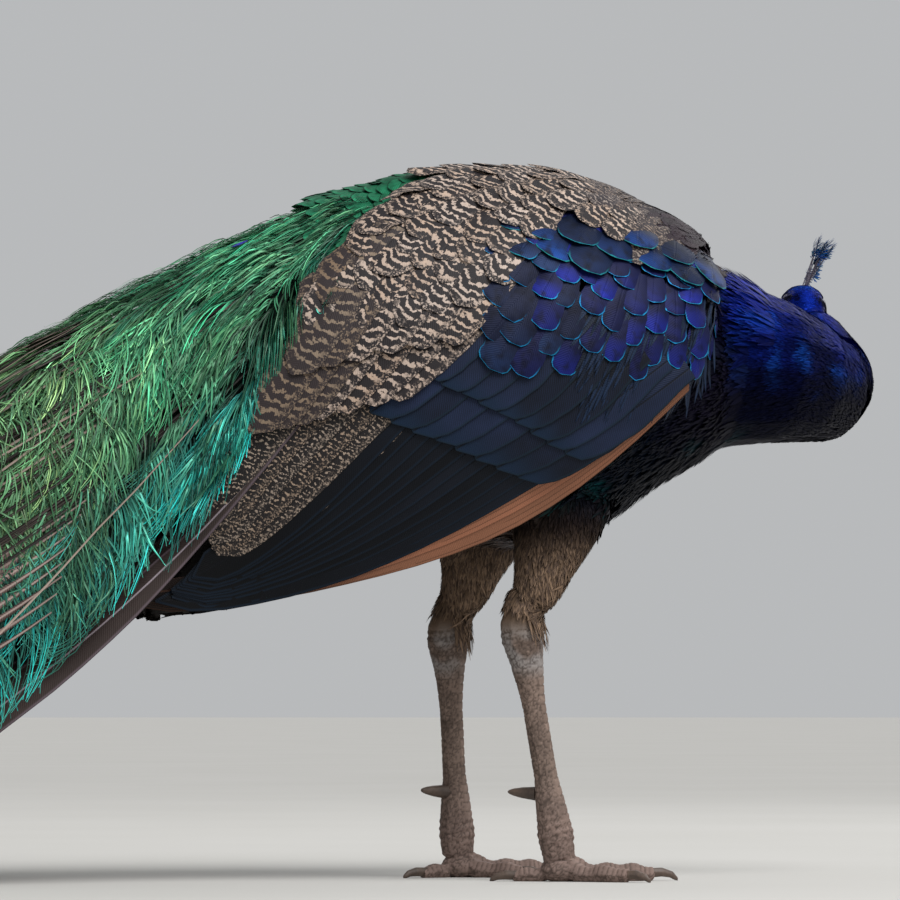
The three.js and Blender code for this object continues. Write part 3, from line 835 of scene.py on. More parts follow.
def leg_scales(points, normals, side, scale):
    """How far the leg's scales stand out, in mm, and how deep in a crease each place lies."""
    foot, axis = leg_axis(side)
    out = points - foot
    height = out @ axis / MM
    out = out - axis * (height * MM)[:, None]
    angle = np.degrees(np.arctan2(out[:, 1], out[:, 0]))
    cells = [noise.voronoi(p) for p in (points / scale * np.array([1, 1, 0.8])).tolist()]
    gap = np.array([c[0][1] - c[0][0] for c in cells])
    small = smoothstep(0.0, 0.26, gap)
    row = height / 6.0 + 0.5 * (angle > 4) + 0.1 * np.sin(angle / 9)
    plate = smoothstep(0.0, 0.2, row % 1) * smoothstep(1.0, 0.9, row % 1)
    plate = plate * smoothstep(0.0, 4.5, abs(angle - 4))
    front = smoothstep(64, 48, abs(angle)) * smoothstep(8, 18, height) * smoothstep(128, 112, height)
    from_ankle = np.hypot(points[:, 0] - foot[0], points[:, 1] - foot[1]) / MM
    band = (from_ankle / 3.3) % 1
    band = smoothstep(0.0, 0.25, band) * smoothstep(1.0, 0.8, band)
    on_toe = smoothstep(20, 15, points[:, 2] / MM) * smoothstep(11, 17, from_ankle)
    on_toe = on_toe * smoothstep(0.15, 0.5, normals[:, 2])
    scaled = small * (1 - front) * (1 - on_toe) + plate * front + band * on_toe
    raised = 0.5 * scaled - 0.35
    raised -= 1.3 * smoothstep(18, 50, height) * smoothstep(122, 96, height)  # the shank is lean
    fold = np.sin(height * 1.25 + 1.5 * np.sin(np.radians(angle) * 2)) * 0.35
    raised += fold * (smoothstep(120, 134, height) + smoothstep(22, 8, height) * smoothstep(-6, 2, height))
    knuckle = np.cos(from_ankle * 2 * math.pi / 17.5) * 0.7 * smoothstep(11, 17, from_ankle)
    raised += knuckle * smoothstep(22, 14, points[:, 2] / MM) * np.clip(normals[:, 2] + 0.4, 0, 1)
    raised *= smoothstep(0.3, 1.4, points[:, 2] / MM)
    return raised, 1 - scaled


def leg_tint(points, crease, colours):
    """Grey-brown scales, darker in the creases between them as painted shade, pinker and paler towards the
    foot.
    """
    leg = rgb(colours.leg)
    patch, speck = cloud(points, 70), cloud(points, 420)
    tint = mix(leg * 0.85, leg * 1.3, smoothstep(0.3, 0.7, patch))
    tint = mix(tint, leg * 1.8, smoothstep(0.55, 0.8, speck) * 0.6)
    height = points[:, 2] / MM
    tint = mix(tint, tone("8E7871"), smoothstep(75, 20, height) * 0.5)
    tint = mix(tint, tone("9A9694"), smoothstep(128, 142, height) * smoothstep(0.35, 0.6, patch) * 0.8)
    # Painted shade in the creases between the scales.
    return mix(tint, leg * 0.3, np.clip(crease, 0, 1) ** 1.5 * 0.75)


@functools.cache
def skin_mesh():
    """One skin from head to toes, sunk under the coat and joined without a seam to the bare legs."""
    mesh = body_mesh().copy()
    points = coordinates(mesh)
    points = points - point_normals(mesh) * coat_depth(points)[:, None]
    near = from_face(points) < 26
    points[near] = shape_face(points[near])
    mesh = united(moved(mesh, points), [leg_mesh(side) for side in SIDES])
    points, normals = coordinates(mesh), point_normals(mesh)
    crease = np.zeros(len(points))
    for side, sign in SIDES.items():
        bare = (points[:, 2] < HOCK_HEIGHT * MM) & ((points[:, 1] - ORIGIN[1]) * sign > 0)
        scale = bpy.context.scene.peacock_sizes.scale
        raised, crease[bare] = leg_scales(points[bare], normals[bare], side, scale)
        points[bare] += normals[bare] * (raised * MM)[:, None]
    points[:, 2] = np.maximum(points[:, 2], 0.0)
    moved(mesh, points).shade_smooth()
    note(mesh, "crease", np.repeat(crease[:, None], 3, axis=1))
    return mesh


@functools.cache
def skin_surface():
    return Surface(skin_mesh())


@functools.cache
def cover_surface():
    """A soft outline under the long cover feathers, which runs on from the back to the train."""
    mesh = remeshed([*FLESH, *WINGS, "mantle", "train_root"], 0.005, 12)
    points = coordinates(mesh) - point_normals(mesh) * (6 * MM)
    return Surface(moved(mesh, points))


@functools.cache
def owners():
    return Owners([*FLESH, *WINGS, *LEGS, "mantle", *TRAIN, "tail", "bill_upper", "bill_lower"])


class PEACOCK_OT_skin(bpy.types.Operator):
    """One skin under all the plumage, with lids, brows and bare strips on the face, and scaly legs"""

    bl_idname = "peacock.skin"
    bl_label = "Skin"

    def execute(self, context):
        colours = context.scene.peacock_colours
        mesh = skin_mesh()
        points, normals = coordinates(mesh), point_normals(mesh)
        tint = plumage(points, normals, colours) * 0.8
        bare = points[:, 2] < (HOCK_HEIGHT + 8) * MM
        crease = np.empty(len(points) * 3)
        mesh.attributes["crease"].data.foreach_get("vector", crease)
        scaly = smoothstep(HOCK_HEIGHT + 8, HOCK_HEIGHT - 10, points[bare, 2] / MM)
        tint[bare] = mix(tint[bare], leg_tint(points[bare], crease[::3][bare], colours), scaly)
        note(mesh, "plumage", tint)
        material = skin_material("Bird skin, thin and downy, scaly on the legs")
        add_piece("skin", mesh, material, nodes=[*FLESH, *LEGS])
        return {"FINISHED"}


class PEACOCK_OT_eyes(bpy.types.Operator):
    """Both eyes: a dark pupil in a brown iris, under a wet cornea"""

    bl_idname = "peacock.eyes"
    bl_label = "Eyes"

    def execute(self, context):
        material, node, shader = surface_material(
            "Living eye, wet cornea over a brown iris", roughness=0.06, ior=1.38, specular_ior_level=0.5
        )
        shader.inputs["Coat Weight"].default_value = 1.0
        shader.inputs["Coat Roughness"].default_value = 0.02
        gaze = node("vector", attribute_name="gaze")
        x, _, z = node("parts", gaze)
        ring = node("SQRT", node("ADD", node("POWER", x, 2.0), node("POWER", z, 2.0)))
        fibres = texture(node, gaze, 1.6, 3.0)
        iris = node("mix", fibres, four(tone("24120A")), four(tone("4E2A14")))
        iris = node("mix", node("ramp", ring, 3.5, 4.4), iris, four(tone("120A06")))
        lead(node("mix", node("ramp", ring, 1.9, 2.15), four(tone("020202")), iris), shader)
        for side, sign in SIDES.items():
            shape = bmesh.new()
            bmesh.ops.create_uvsphere(shape, u_segments=32, v_segments=20, radius=EYE_RADIUS)
            mesh = bpy.data.meshes.new(f"eye_{side}_ball")
            shape.to_mesh(mesh)
            shape.free()
            ball = coordinates(mesh)
            note(mesh, "gaze", ball)
            moved(mesh, from_head(ball + np.array([EYE_AHEAD, sign * EYE_OUT, EYE_UP]))).shade_smooth()
            add_piece(f"eyeball_{side}", mesh, material, nodes=[f"eye_{side}"])
        return {"FINISHED"}


def horn_material(name, base, tip, growth, roughness=0.34):
    """Horn, grown in layers and worn smooth: low gloss with faint growth lines."""
    material, node, shader = surface_material(name, roughness=roughness, ior=1.55)
    place = node("place")
    lines = texture(node, place, 500.0, 3.0, growth)
    own = node("vector", attribute_name="worn")
    share, _, _ = node("parts", own)
    colour_now = node("mix", share, four(base), four(tip))
    dark = node("mix", node("ramp", lines, 0.3, 0.7), four(base * 0.45), colour_now)
    lead(node("mix", 0.7, dark, colour_now), shader)
    lead(node("bump", lines, 0.12 * MM, 0.5), shader, "Normal")
    return material


class PEACOCK_OT_bill(bpy.types.Operator):
    """Both halves of the bill, with the nostrils' hollows and the ridge between them"""

    bl_idname = "peacock.bill"
    bl_label = "Bill"

    def execute(self, context):
        mesh = remeshed(["bill_upper", "bill_lower"], 0.0005, 8)
        points = coordinates(mesh)
        head = in_head(points)
        x, y, z = head.T
        for sign in SIDES.values():
            gap = ((x - 31) / 4.2) ** 2 + ((z - 0.2 + 0.12 * (x - 31)) / 1.5) ** 2
            head[:, 1] -= sign * 1.1 * np.exp(-gap * 1.6) * (y * sign > 1)
            gape = np.exp(-(((z + 8.2 + 0.06 * (x - 20)) / 0.5) ** 2)) * (y * sign > 1)
            head[:, 1] -= sign * 0.6 * gape
        head[:, 2] += 0.5 * np.exp(-((y / 1.4) ** 2)) * (z > -4) * smoothstep(48, 40, x)
        moved(mesh, from_head(head)).shade_smooth()
        worn = smoothstep(26, 50, head[:, 0])
        note(mesh, "worn", np.stack([worn, worn, worn], 1))
        around = np.arctan2(head[:, 1], head[:, 2] + 7) / 6.4
        bake_map(mesh, np.stack([(head[:, 0] + 2) / 60, 0.5 + around], 1))
        horn = rgb(context.scene.peacock_colours.horn)
        material = horn_material("Bill horn, worn smooth", horn * 0.75, horn * 1.25, (1, 1, 1))
        add_piece("bill", mesh, material, nodes=["bill_upper", "bill_lower"])
        return {"FINISHED"}


# ---- claws ----


class PEACOCK_OT_claws(bpy.types.Operator):
    """Claws and spurs"""

    bl_idname = "peacock.claws"
    bl_label = "Claws"

    def execute(self, context):
        material = horn_material("Claw horn, scuffed", tone("3C332E"), tone("6E5D52"), (1, 1, 1), 0.5)
        claws = [f"claw_{toe}_{side}" for toe in ("middle", "inner", "outer", "hind") for side in SIDES]
        spurs = [f"spur_{side}" for side in SIDES]
        for name, nodes in (("claws", claws), ("spurs", spurs)):
            mesh = remeshed(nodes, 0.0006, 6)
            points = coordinates(mesh)
            points[:, 2] = np.maximum(points[:, 2], 0.0)
            moved(mesh, points).shade_smooth()
            worn = cloud(points, 120)
            note(mesh, "worn", np.stack([worn, worn, worn], 1))
            add_piece(name, mesh, material, nodes=nodes)
        return {"FINISHED"}


# ---- the short coat ----

BODY_TUFTS, FACE_TUFTS = 420_000, 1_600_000  # to the square metre, before they are thinned


def coat(name, surface, roots, headings, lengths, half, colours, rng, material, lift=0.002,
         stand=0.0006):
    """A coat of small tufts, as one joined mesh."""
    lines, normals = surface.lay(roots, headings, lengths, 3)
    mesh = vanes(lines, normals, half, SMALL_TUFT, rng, across=1, base=stand, lift=lift)
    # Each tuft is darker at its root and brighter at its tip: partly the duller base of a real feather,
    # partly painted shade where tufts lie over one another.
    painted(mesh, colours, [0.45, 0.8, 1.0, 1.15])
    return add_piece(name, mesh, material)


def varied(colours, rng, amount=0.35):
    """Small differences of brightness from one tuft to the next."""
    return colours * (1 + amount * (rng.random((len(colours), 1)) - 0.5) * 2)


class PEACOCK_OT_coat(bpy.types.Operator):
    """Short feathers of the head, neck, breast, thighs and vent"""

    bl_idname = "peacock.coat"
    bl_label = "Short coat"

    def execute(self, context):
        sizes, colours = context.scene.peacock_sizes, context.scene.peacock_colours
        rng = np.random.default_rng(SEEDS["coat"])
        surface = skin_surface()
        roots, normals = surface.scatter(BODY_TUFTS, rng)
        owner = owners().of(roots)
        under = np.isin(owner, [f"{part}_{side}" for part in ("secondaries", "primaries") for side in SIDES])
        under &= normals[:, 2] < -0.1
        shoulder = ~np.isin(owner, FLESH + FACE_HORN) & (local(roots)[:, 0] > 98)
        owner = np.where(shoulder & (owner != "tail"), "neck_lower", owner)
        flesh = (np.isin(owner, FLESH) | under) & (roots[:, 2] > (HOCK_HEIGHT - 8) * MM)
        roots, normals, owner, under = roots[flesh], normals[flesh], owner[flesh], under[flesh]
        from_eyes = from_face(roots)
        _, tail, _ = along_spine(roots)
        glossy = coat_material("Neck plumage, structural blue", 0.42, 0.35, "3A4A9C")
        matt = coat_material("Body down and contour feathers", 0.7, 0.0, "9A8C80")

        is_head = (owner == "head") & (from_eyes < 36)
        is_leg = np.isin(owner, ("thigh_right", "thigh_left"))
        is_vent = owner == "vent"
        is_neck = np.char.startswith(owner.astype(str), "neck") | ((owner == "head") & ~is_head)
        is_trunk = owner == "trunk"

        def grow(name, where, thin, tuft, half, material, slot, lift, way, stray=0.16):
            keep = where & (rng.random(len(roots)) < thin)
            count = keep.sum()
            jitter = rng.normal(0, stray, (count, 3))
            size = tuft * (0.75 + 0.5 * rng.random(count))
            tint = plumage(roots[keep], normals[keep], colours)
            coat(
                name, surface, roots[keep], way[keep] + jitter, size,
                half * (0.8 + 0.4 * rng.random(count)), varied(tint, rng), rng, material, lift,
            )

        front = unit(from_head([[1, 0, 0]]) - from_head([[0, 0, 0]]))[0]
        grow("coat_neck", is_neck, 0.9, sizes.neck_tuft, 0.0009, glossy, "blue", 0.0012, tail, 0.09)
        grow("coat_breast", is_trunk, 0.42, sizes.breast_tuft, 0.0021, glossy, "breast", 0.004, tail)
        bird = local(roots)
        ruff = is_neck & (bird[:, 0] < 172) & (bird[:, 0] > 104) & (normals[:, 2] > -0.2)
        ruff &= bird[:, 2] > np.interp(bird[:, 0], [104, 114, 124, 134], [398, 390, 380, 350])
        grow("coat_ruff", ruff, 0.5, 0.026, 0.0015, glossy, "blue", 0.0075, tail, 0.1)
        down = np.broadcast_to(np.array([-0.12, 0, -1.0]), roots.shape)
        grow("coat_thighs", is_leg, 0.8, sizes.thigh_tuft, 0.0010, matt, "thigh", 0.002, down)
        height = bird[:, 2]
        sleeve = is_leg & (height < 205) & (height > 172) & (normals[:, 0] > 0.0)
        grow("coat_hocks", sleeve, 0.5, 0.023, 0.0011, matt, "thigh", 0.0035, down + np.array([0.3, 0, 0]))
        rear = np.broadcast_to(np.array([-1.0, 0, -0.5]), roots.shape)
        grow("coat_under_wing", under, 0.2, sizes.breast_tuft * 1.3, 0.0020, matt, "breast", 0.0005, rear)
        grow("coat_vent", is_vent, 0.4, sizes.breast_tuft * 1.3, 0.0022, matt, "breast", 0.005, rear)

        more, more_normals = surface.scatter(FACE_TUFTS, rng)
        spot = in_head(more)
        close = from_face(more) < 37
        more, more_normals, spot = more[close], more_normals[close], spot[close]
        ring = np.hypot((spot[:, 0] - EYE_AHEAD) / 1.1, spot[:, 2] - EYE_UP) + 99 * (abs(spot[:, 1]) < 5)
        keep = (bare_face(spot) < 0.35) & (ring > LID_OPENING + 2.0) & (owners().of(more) == "head")
        roots, normals = more[keep], more_normals[keep]
        spot = spot[keep]
        count = len(roots)
        size = sizes.head_tuft * (0.55 + 0.75 * smoothstep(22, -14, spot[:, 0]))
        size = size * (0.8 + 0.4 * rng.random(count))
        tint = varied(plumage(roots, normals, colours), rng)
        way = np.broadcast_to(-front, roots.shape) + np.array([0, 0, -0.1])
        way = way + rng.normal(0, 0.2, roots.shape)
        half = np.full(count, 0.00055)
        coat("coat_head", surface, roots, way, size, half, tint, rng, glossy, 0.0009, 0.0002)
        return {"FINISHED"}


# ---- crest ----

PLUMES, PLUME_BARBS = 24, 36


class PEACOCK_OT_crest(bpy.types.Operator):
    """Bare shafts on the crown, each with a small blue-green fan at its tip"""

    bl_idname = "peacock.crest"
    bl_label = "Crest"

    def execute(self, context):
        sizes, colours = context.scene.peacock_sizes, context.scene.peacock_colours
        rng = np.random.default_rng(SEEDS["crest"])
        count = PLUMES
        share = np.linspace(-0.5, 0.5, count) + rng.normal(0, 0.012, count)
        lean = np.radians(6 + share * 66)
        splay = np.radians(rng.normal(0, 7, count))
        turn, _ = head_matrix()
        way = unit(np.stack([-np.sin(lean), np.sin(splay), np.cos(lean)], 1) + np.array([0.3, 0, 0]) @ turn)
        size = sizes.crest_plume / MM * (1 - 0.5 * share**2) * (0.86 + 0.16 * rng.random(count))
        spread = np.stack([-share * 9, rng.normal(0, 1.1, count), -abs(share) * 2], 1)
        root = np.array([-9, 0, 17.0]) + spread
        t = np.linspace(0, 1, 7)
        bend = np.stack([-(t**2) * 2.2, 0 * t, -(t**2) * 0.6], 1)
        shafts = root[:, None] + way[:, None] * (size[:, None] * t)[..., None] + bend
        face = np.cross(way, np.array([0, 1.0, 0]))
        out = unit(np.cross(way, face))[:, None] + 0 * shafts
        facing = np.where((np.arange(count) % 2 == 0)[:, None, None], out, np.cross(way[:, None], out))
        lines = from_head(shafts.reshape(-1, 3)).reshape(shafts.shape)
        normals = (facing.reshape(-1, 3) @ turn.T).reshape(shafts.shape)
        bare = np.linspace(1, 0.6, 7)
        mesh = vanes(lines, normals, np.full(count, 0.0004), bare, rng, across=1)
        painted(mesh, np.broadcast_to(tone("4A4450"), (count, 3)), np.ones(7))
        shaft = barb_material("Crest shafts, bare keratin")
        add_piece("crest_shafts", mesh, shaft, nodes=["crest"])

        tips, tip_normals, tints = [], [], []
        for i in range(count):
            for j in range(PLUME_BARBS):
                share_of_fan = j / (PLUME_BARBS - 1)
                start = 0.66 + 0.33 * share_of_fan
                side = 1 if j % 2 else -1
                angle = math.radians(66 - 48 * share_of_fan) * side * (0.8 + 0.3 * rng.random())
                place = root[i] + way[i] * size[i] * start + bend[-1] * start
                across = unit(np.cross(out[i, 0], way[i]) + out[i, 0] * rng.normal(0, 0.7))
                heading = way[i] * math.cos(angle) + across * math.sin(angle)
                reach = 5.4 * (1 - 0.35 * share_of_fan) * (0.8 + 0.4 * rng.random())
                steps = np.linspace(0, reach, 4)[:, None] * heading + place
                steps[:, :] += out[i, 0] * rng.normal(0, 0.25)
                tips.append(steps)
                tip_normals.append(np.broadcast_to(out[i, 0], (4, 3)))
                tints.append(mix(rgb(colours.azure), rgb(colours.turquoise), rng.random() * 0.6) * 0.4)
        tips = np.array(tips)
        lines = from_head(tips.reshape(-1, 3)).reshape(tips.shape)
        normals = (np.array(tip_normals).reshape(-1, 3) @ turn.T).reshape(tips.shape)
        mesh = vanes(lines, normals, np.full(len(tips), 0.00042), np.array([0.8, 1, 1, 0.4]), rng, across=1)
        painted(mesh, np.array(tints), [0.6, 0.9, 1.1, 1.2])
        add_piece("crest_fans", mesh, barb_material("Crest fans, structural blue-green"))
        return {"FINISHED"}


# ---- wings ----

ROUND_BODY = 115.0  # mm: the wings' rough radius about the body's middle line


def middle_height(x):
    """Height of the body's middle line, in mm, at a distance along it."""
    return np.interp(x, [-330, -250, -180, 0, 150], [170, 250, 318, 331, 340])


def tract(names, sign, span, across, along, lie, rng, jitter=0.08):
    """Roots of a brick pattern of feathers on the parts named: places, normals, and their own coordinates.

    span is (low x, high x, low s, high s) in mm, where s is the distance round the body from the top of
    the back. lie is the lie of the rows in degrees, from straight back towards straight down.
    """
    turn = math.radians(lie)
    down = np.array([-math.cos(turn), math.sin(turn)])
    aside = np.array([math.sin(turn), math.cos(turn)])
    low_x, high_x, low_s, high_s = span
    centre = np.array([(low_x + high_x) / 2, (low_s + high_s) / 2])
    reach = math.hypot(high_x - low_x, high_s - low_s) / 2
    rows = []
    for j in range(-int(reach / along) - 1, int(reach / along) + 2):
        for i in range(-int(reach / across) - 1, int(reach / across) + 2):
            spot = centre + aside * across * (i + 0.5 * (j % 2)) + down * along * j
            rows.append(spot + rng.normal(0, jitter, 2) * np.array([across, along]))
    rows = np.array(rows)
    inside = (rows[:, 0] > low_x) & (rows[:, 0] < high_x) & (rows[:, 1] > low_s) & (rows[:, 1] < high_s)
    surface, found = cover_surface(), []
    for x, s in rows[inside]:
        angle = s / ROUND_BODY
        ray = Vector((0, sign * math.sin(angle), math.cos(angle)))
        start = Vector(placed([x, 0, middle_height(x)])) + ray * 0.4
        place, normal = surface.hit(start, -ray)
        if place is not None:
            found.append((*place, *normal, x, s))
    found = np.array(found)
    keep = np.isin(owners().of(found[:, :3]), names)
    return found[keep, :3], found[keep, 3:6], found[keep, 6], found[keep, 7]


def headings(normals, sign, degrees):
    """Directions on the body, in degrees from straight back towards straight down round it."""
    back = tangent(np.broadcast_to(np.array([-1.0, 0, 0]), normals.shape), normals)
    around = np.cross(normals, back) * -sign
    turn = np.radians(degrees)[:, None]
    return back * np.cos(turn) + around * np.sin(turn)


def wing_coat(name, nodes, owned, sign, span, pitch, lie, size, half, degrees, rng, kinds,
              choose=None, base=0.003, lift=0.0035, across=4, profile=ROUND_TIP, camber=0.14, fray=0.06,
              jitter=0.08, above=None, below=None, rear=0.0):
    """A tract of contour feathers, whose size, half and degrees are functions of x and s.

    choose, a function of x and s too, gives each feather's kind: its place among the materials in kinds.
    above is a line in side view that no feather's tip may fall below, and below is a line that no root
    may rise over.
    """
    roots, normals, x, s = tract(owned, sign, span, *pitch, lie, rng, jitter)
    kind = choose(x, s) if choose else np.zeros(len(x), int)
    if above:
        turn, reach = np.radians(degrees(x, s)), size(x, s) / MM
        drop = reach * np.sin(turn) * np.hypot(normals[:, 0], normals[:, 1])
        low = np.interp(x - reach * np.cos(turn), *zip(*above))
        kind = np.where(local(roots)[:, 2] - drop < low, -1, kind)
    if below:
        kind = np.where(local(roots)[:, 2] > np.interp(x, *zip(*below)), -1, kind)
    for index, (suffix, material) in enumerate(kinds):
        own = kind == index
        if not own.any():
            continue
        ways = headings(normals[own], sign, degrees(x[own], s[own]) + rng.normal(0, 4, own.sum()))
        lengths = size(x[own], s[own]) * (0.93 + 0.14 * rng.random(own.sum()))
        lines, facing = cover_surface().lay(roots[own], ways, lengths, len(profile) - 1)
        heights = base * (1 - 0.42 * smoothstep(40, 100, x[own])) + rear * smoothstep(36, 4, x[own])
        heights = heights + 0.0007 * rng.random(own.sum())
        mesh = vanes(
            lines, facing, half(x[own], s[own]), profile, rng, across, heights, lift, camber, fray,
            roll=0.07, sheet=True,
        )
        add_piece(name + suffix, mesh, material, nodes=nodes if index == 0 else ())


FIELD_STEP = 8.0  # mm
FIELD_ROUNDS, LAST_ROUNDS = 330, 6  # rounds that fill the field's gaps, the last of which soften it all


@functools.cache
def side_field(sign):
    """Depth of the folded wing seen from its side, on an even grid that runs on past its edges."""
    xs, zs = np.arange(-330, 191, FIELD_STEP), np.arange(110, 481, FIELD_STEP)
    x, z = np.meshgrid(xs, zs, indexing="ij")
    starts = placed(np.stack([x, np.full_like(x, sign * 300), z], -1)).reshape(-1, 3)
    found = [skin_surface().hit(Vector(start), Vector((0, -sign, 0))) for start in starts]
    kept = [i for i, (place, normal) in enumerate(found) if place is not None and normal[1] * sign > 0.4]
    places = np.array([found[i][0] for i in kept])
    names = owners().of(places)
    on_wing = np.isin(names, WINGS)
    depth = np.full(x.size, np.nan)
    depth[np.array(kept)[on_wing]] = local(places[on_wing])[:, 1]
    depth = depth.reshape(x.shape)
    known = ~np.isnan(depth)
    filled = np.where(known, depth, depth[known].mean())
    for k in range(FIELD_ROUNDS):
        edge = np.pad(filled, 1, mode="edge")
        even = (edge[:-2, 1:-1] + edge[2:, 1:-1] + edge[1:-1, :-2] + edge[1:-1, 2:]) / 4
        filled = np.where(known & (k < FIELD_ROUNDS - LAST_ROUNDS), filled, even)
    slopes = np.gradient(filled, FIELD_STEP)
    return xs, zs, np.stack([filled, *slopes], -1)


def on_side(curves, sign):
    """Places and normals on the wing for lines drawn in side view, in mm."""
    xs, zs, field = side_field(sign)
    i = np.clip((curves[..., 0] - xs[0]) / FIELD_STEP, 0, len(xs) - 1.001)
    j = np.clip((curves[..., 1] - zs[0]) / FIELD_STEP, 0, len(zs) - 1.001)
    a, b = i.astype(int), j.astype(int)
    p, q = (i - a)[..., None], (j - b)[..., None]
    value = field[a, b] * (1 - p) * (1 - q) + field[a + 1, b] * p * (1 - q)
    value = value + field[a, b + 1] * (1 - p) * q + field[a + 1, b + 1] * p * q
    places = placed(np.stack([curves[..., 0], value[..., 0], curves[..., 1]], -1))
    normals = unit(np.stack([-value[..., 1], np.ones_like(value[..., 0]), -value[..., 2]], -1) * sign)
    return places, normals


def smooth_line(corners, count):
    """A soft line through corners, in even steps."""
    corners = np.array(corners, float)
    reach = np.concatenate([[0], np.cumsum(np.linalg.norm(np.diff(corners, axis=0), axis=1))])
    fine = np.linspace(0, reach[-1], 60)
    line = np.stack([np.interp(fine, reach, corners[:, i]) for i in range(2)], -1)
    for _ in range(60):
        line[1:-1] = (line[:-2] + 2 * line[1:-1] + line[2:]) / 4
    spots = np.linspace(0, 59, count)
    return np.stack([np.interp(spots, range(60), line[:, i]) for i in range(2)], -1)


def quills(name, nodes, sign, low_line, high_line, count, half, rng, material, slot, base,
           profile=LONG_VANE, across=4, step=0.0006, lift=0.0012, camber=0.06, tilt=0.10, cut=(1.0, 1.0),
           part=(0.0, 1.0)):
    """A row of long wing feathers between two lines in side view, the upper ones over the lower.

    cut is the share of its line that the lowest and the highest feather reach, and part the share of
    the way between the two lines that the row takes.
    """
    lines = []
    for k in np.linspace(*part, count):
        low, high = smooth_line(low_line, 60), smooth_line(high_line, 60)
        reach = (cut[0] * (1 - k) + cut[1] * k) * (1 + rng.normal(0, 0.012))
        spots = np.linspace(0, 59 * min(reach, 1), len(profile))
        line = low * (1 - k) + high * k
        lines.append(np.stack([np.interp(spots, range(60), line[:, i]) for i in range(2)], -1))
    places, normals = on_side(np.array(lines), sign)
    heights = base + step * np.arange(count)
    widths = half * (0.95 + 0.1 * rng.random(count))
    mesh = vanes(
        places, normals, widths, profile, rng, across, heights, lift, camber, 0.04, tilt=-sign * tilt,
        roll=0.02, sheet=True,
    )
    return add_piece(name, mesh, material, nodes=nodes)


WING_EDGE = [(98, 318), (60, 281), (10, 243), (-40, 219), (-100, 204), (-170, 188), (-258, 177)]
PRIMARY_TOP = [(98, 322), (58, 292), (4, 260), (-50, 232), (-110, 208), (-180, 192), (-262, 184)]
SECONDARY_LOW = [(92, 324), (52, 292), (-2, 262), (-54, 234), (-112, 208), (-190, 186), (-244, 180)]
SECONDARY_HIGH = [(-30, 356), (-74, 312), (-118, 272), (-176, 222), (-222, 196)]
TERTIAL_LOW = [(-40, 340), (-76, 312), (-112, 280), (-166, 232), (-204, 208)]
TERTIAL_HIGH = [(-96, 346), (-128, 324), (-164, 300), (-196, 264), (-212, 226)]
COVERT_LOW = [(98, 330), (60, 304), (20, 280), (-14, 262)]
COVERT_HIGH = [(-24, 368), (-50, 344), (-80, 320), (-108, 300)]


class PEACOCK_OT_flight(bpy.types.Operator):
    """Primaries, secondaries, tertials and the long coverts of both folded wings"""

    bl_idname = "peacock.flight"
    bl_label = "Flight feathers"

    def execute(self, context):
        colours = context.scene.peacock_colours
        slate, buff = rgb(colours.slate), rgb(colours.chestnut)
        # Secondaries darken to near-black from a third of the way along: painted shade at the folded wing's
        # rear end.
        dark = plain_vane(
            "Secondary vanes, blue-black keratin", slate * 0.25, slate * 0.8, slate * 0.12, 0.5, 0.1,
            shaft=slate * 0.2, rim=tone("0E1E2E"), tip_from=0.3,
        )
        chestnut = plain_vane(
            "Primary vanes, buff keratin", buff * 0.85, buff * np.array([1.3, 1.2, 1.2]), tone("1A1412"),
            0.55, 0.0, shaft=buff * 0.3, streak=0.5, tip_from=0.5,
        )
        speckled = barred_vane(
            "Tertial vanes, speckled keratin", 3.6, 4.2, tone("171213"), tone("B09E8E"), 0.6, level=0.75
        )
        long_coverts = plain_vane(
            "Long covert vanes, slate keratin", slate * 0.45, tone("212C48"), tone("122338"), 0.5, 0.1,
            shaft=slate * 0.4, rim=tone("10222E"),
        )
        rows = (
            ("primaries", "_vanes", WING_EDGE, PRIMARY_TOP, 6, 0.009, chestnut, "chestnut", 0.0044, 0.0002,
             {"lift": -0.0028}),
            ("secondaries", "_vanes", SECONDARY_LOW, SECONDARY_HIGH, 12, 0.0125, dark, "slate", 0.0046,
             0.0003, {}),
            ("tertials", "_vanes", TERTIAL_LOW, TERTIAL_HIGH, 6, 0.0145, speckled, "barred", 0.0072, 0.0004,
             {"profile": outline(18, 0.5, 0.82, 2.2)}),
            ("coverts", "_long", COVERT_LOW, COVERT_HIGH, 8, 0.0155, long_coverts, "slate", 0.0072, 0.0003,
             {"profile": outline(14, 0.5, 0.72, 2.4)}),
            ("coverts", "_middle", COVERT_LOW, COVERT_HIGH, 9, 0.0145, long_coverts, "slate", 0.0088, 0.0003,
             {"profile": outline(14, 0.5, 0.7, 2.4), "cut": (0.74, 0.62)}),
        )
        for side, sign in SIDES.items():
            rng = np.random.default_rng(SEEDS["flight"] + sign)
            for part, kind, low, high, count, half, vane, slot, base, step, shape in rows:
                quills(
                    f"{part}{kind}_{side}", [f"{part}_{side}"] if kind == "_vanes" else [], sign, low, high,
                    count, half, rng, vane, slot, base, step=step, **shape,
                )
        return {"FINISHED"}


SCAPULAR_LOW = [(-14, 384), (-54, 350), (-102, 312)]
SCAPULAR_HIGH = [(-92, 416), (-130, 362), (-184, 286)]
# Lines in side view that the tracts keep below or above, in mm.
COVERTS_BELOW = [
    (-60, 372), (-30, 392), (-8, 420), (30, 434), (64, 430), (85, 414), (105, 412), (120, 402), (150, 390)
]
NAPE_ABOVE = [(50, 396), (60, 390), (85, 396), (105, 396), (120, 386), (160, 376)]
BACK_ABOVE = [
    (-190, 312), (-120, 345), (-60, 366), (-30, 378), (-8, 408), (30, 411), (60, 394), (85, 399), (105, 399),
    (120, 386), (160, 370),
]


def same(value):
    """One size for every feather of a tract."""
    return lambda x, s: value + 0 * x


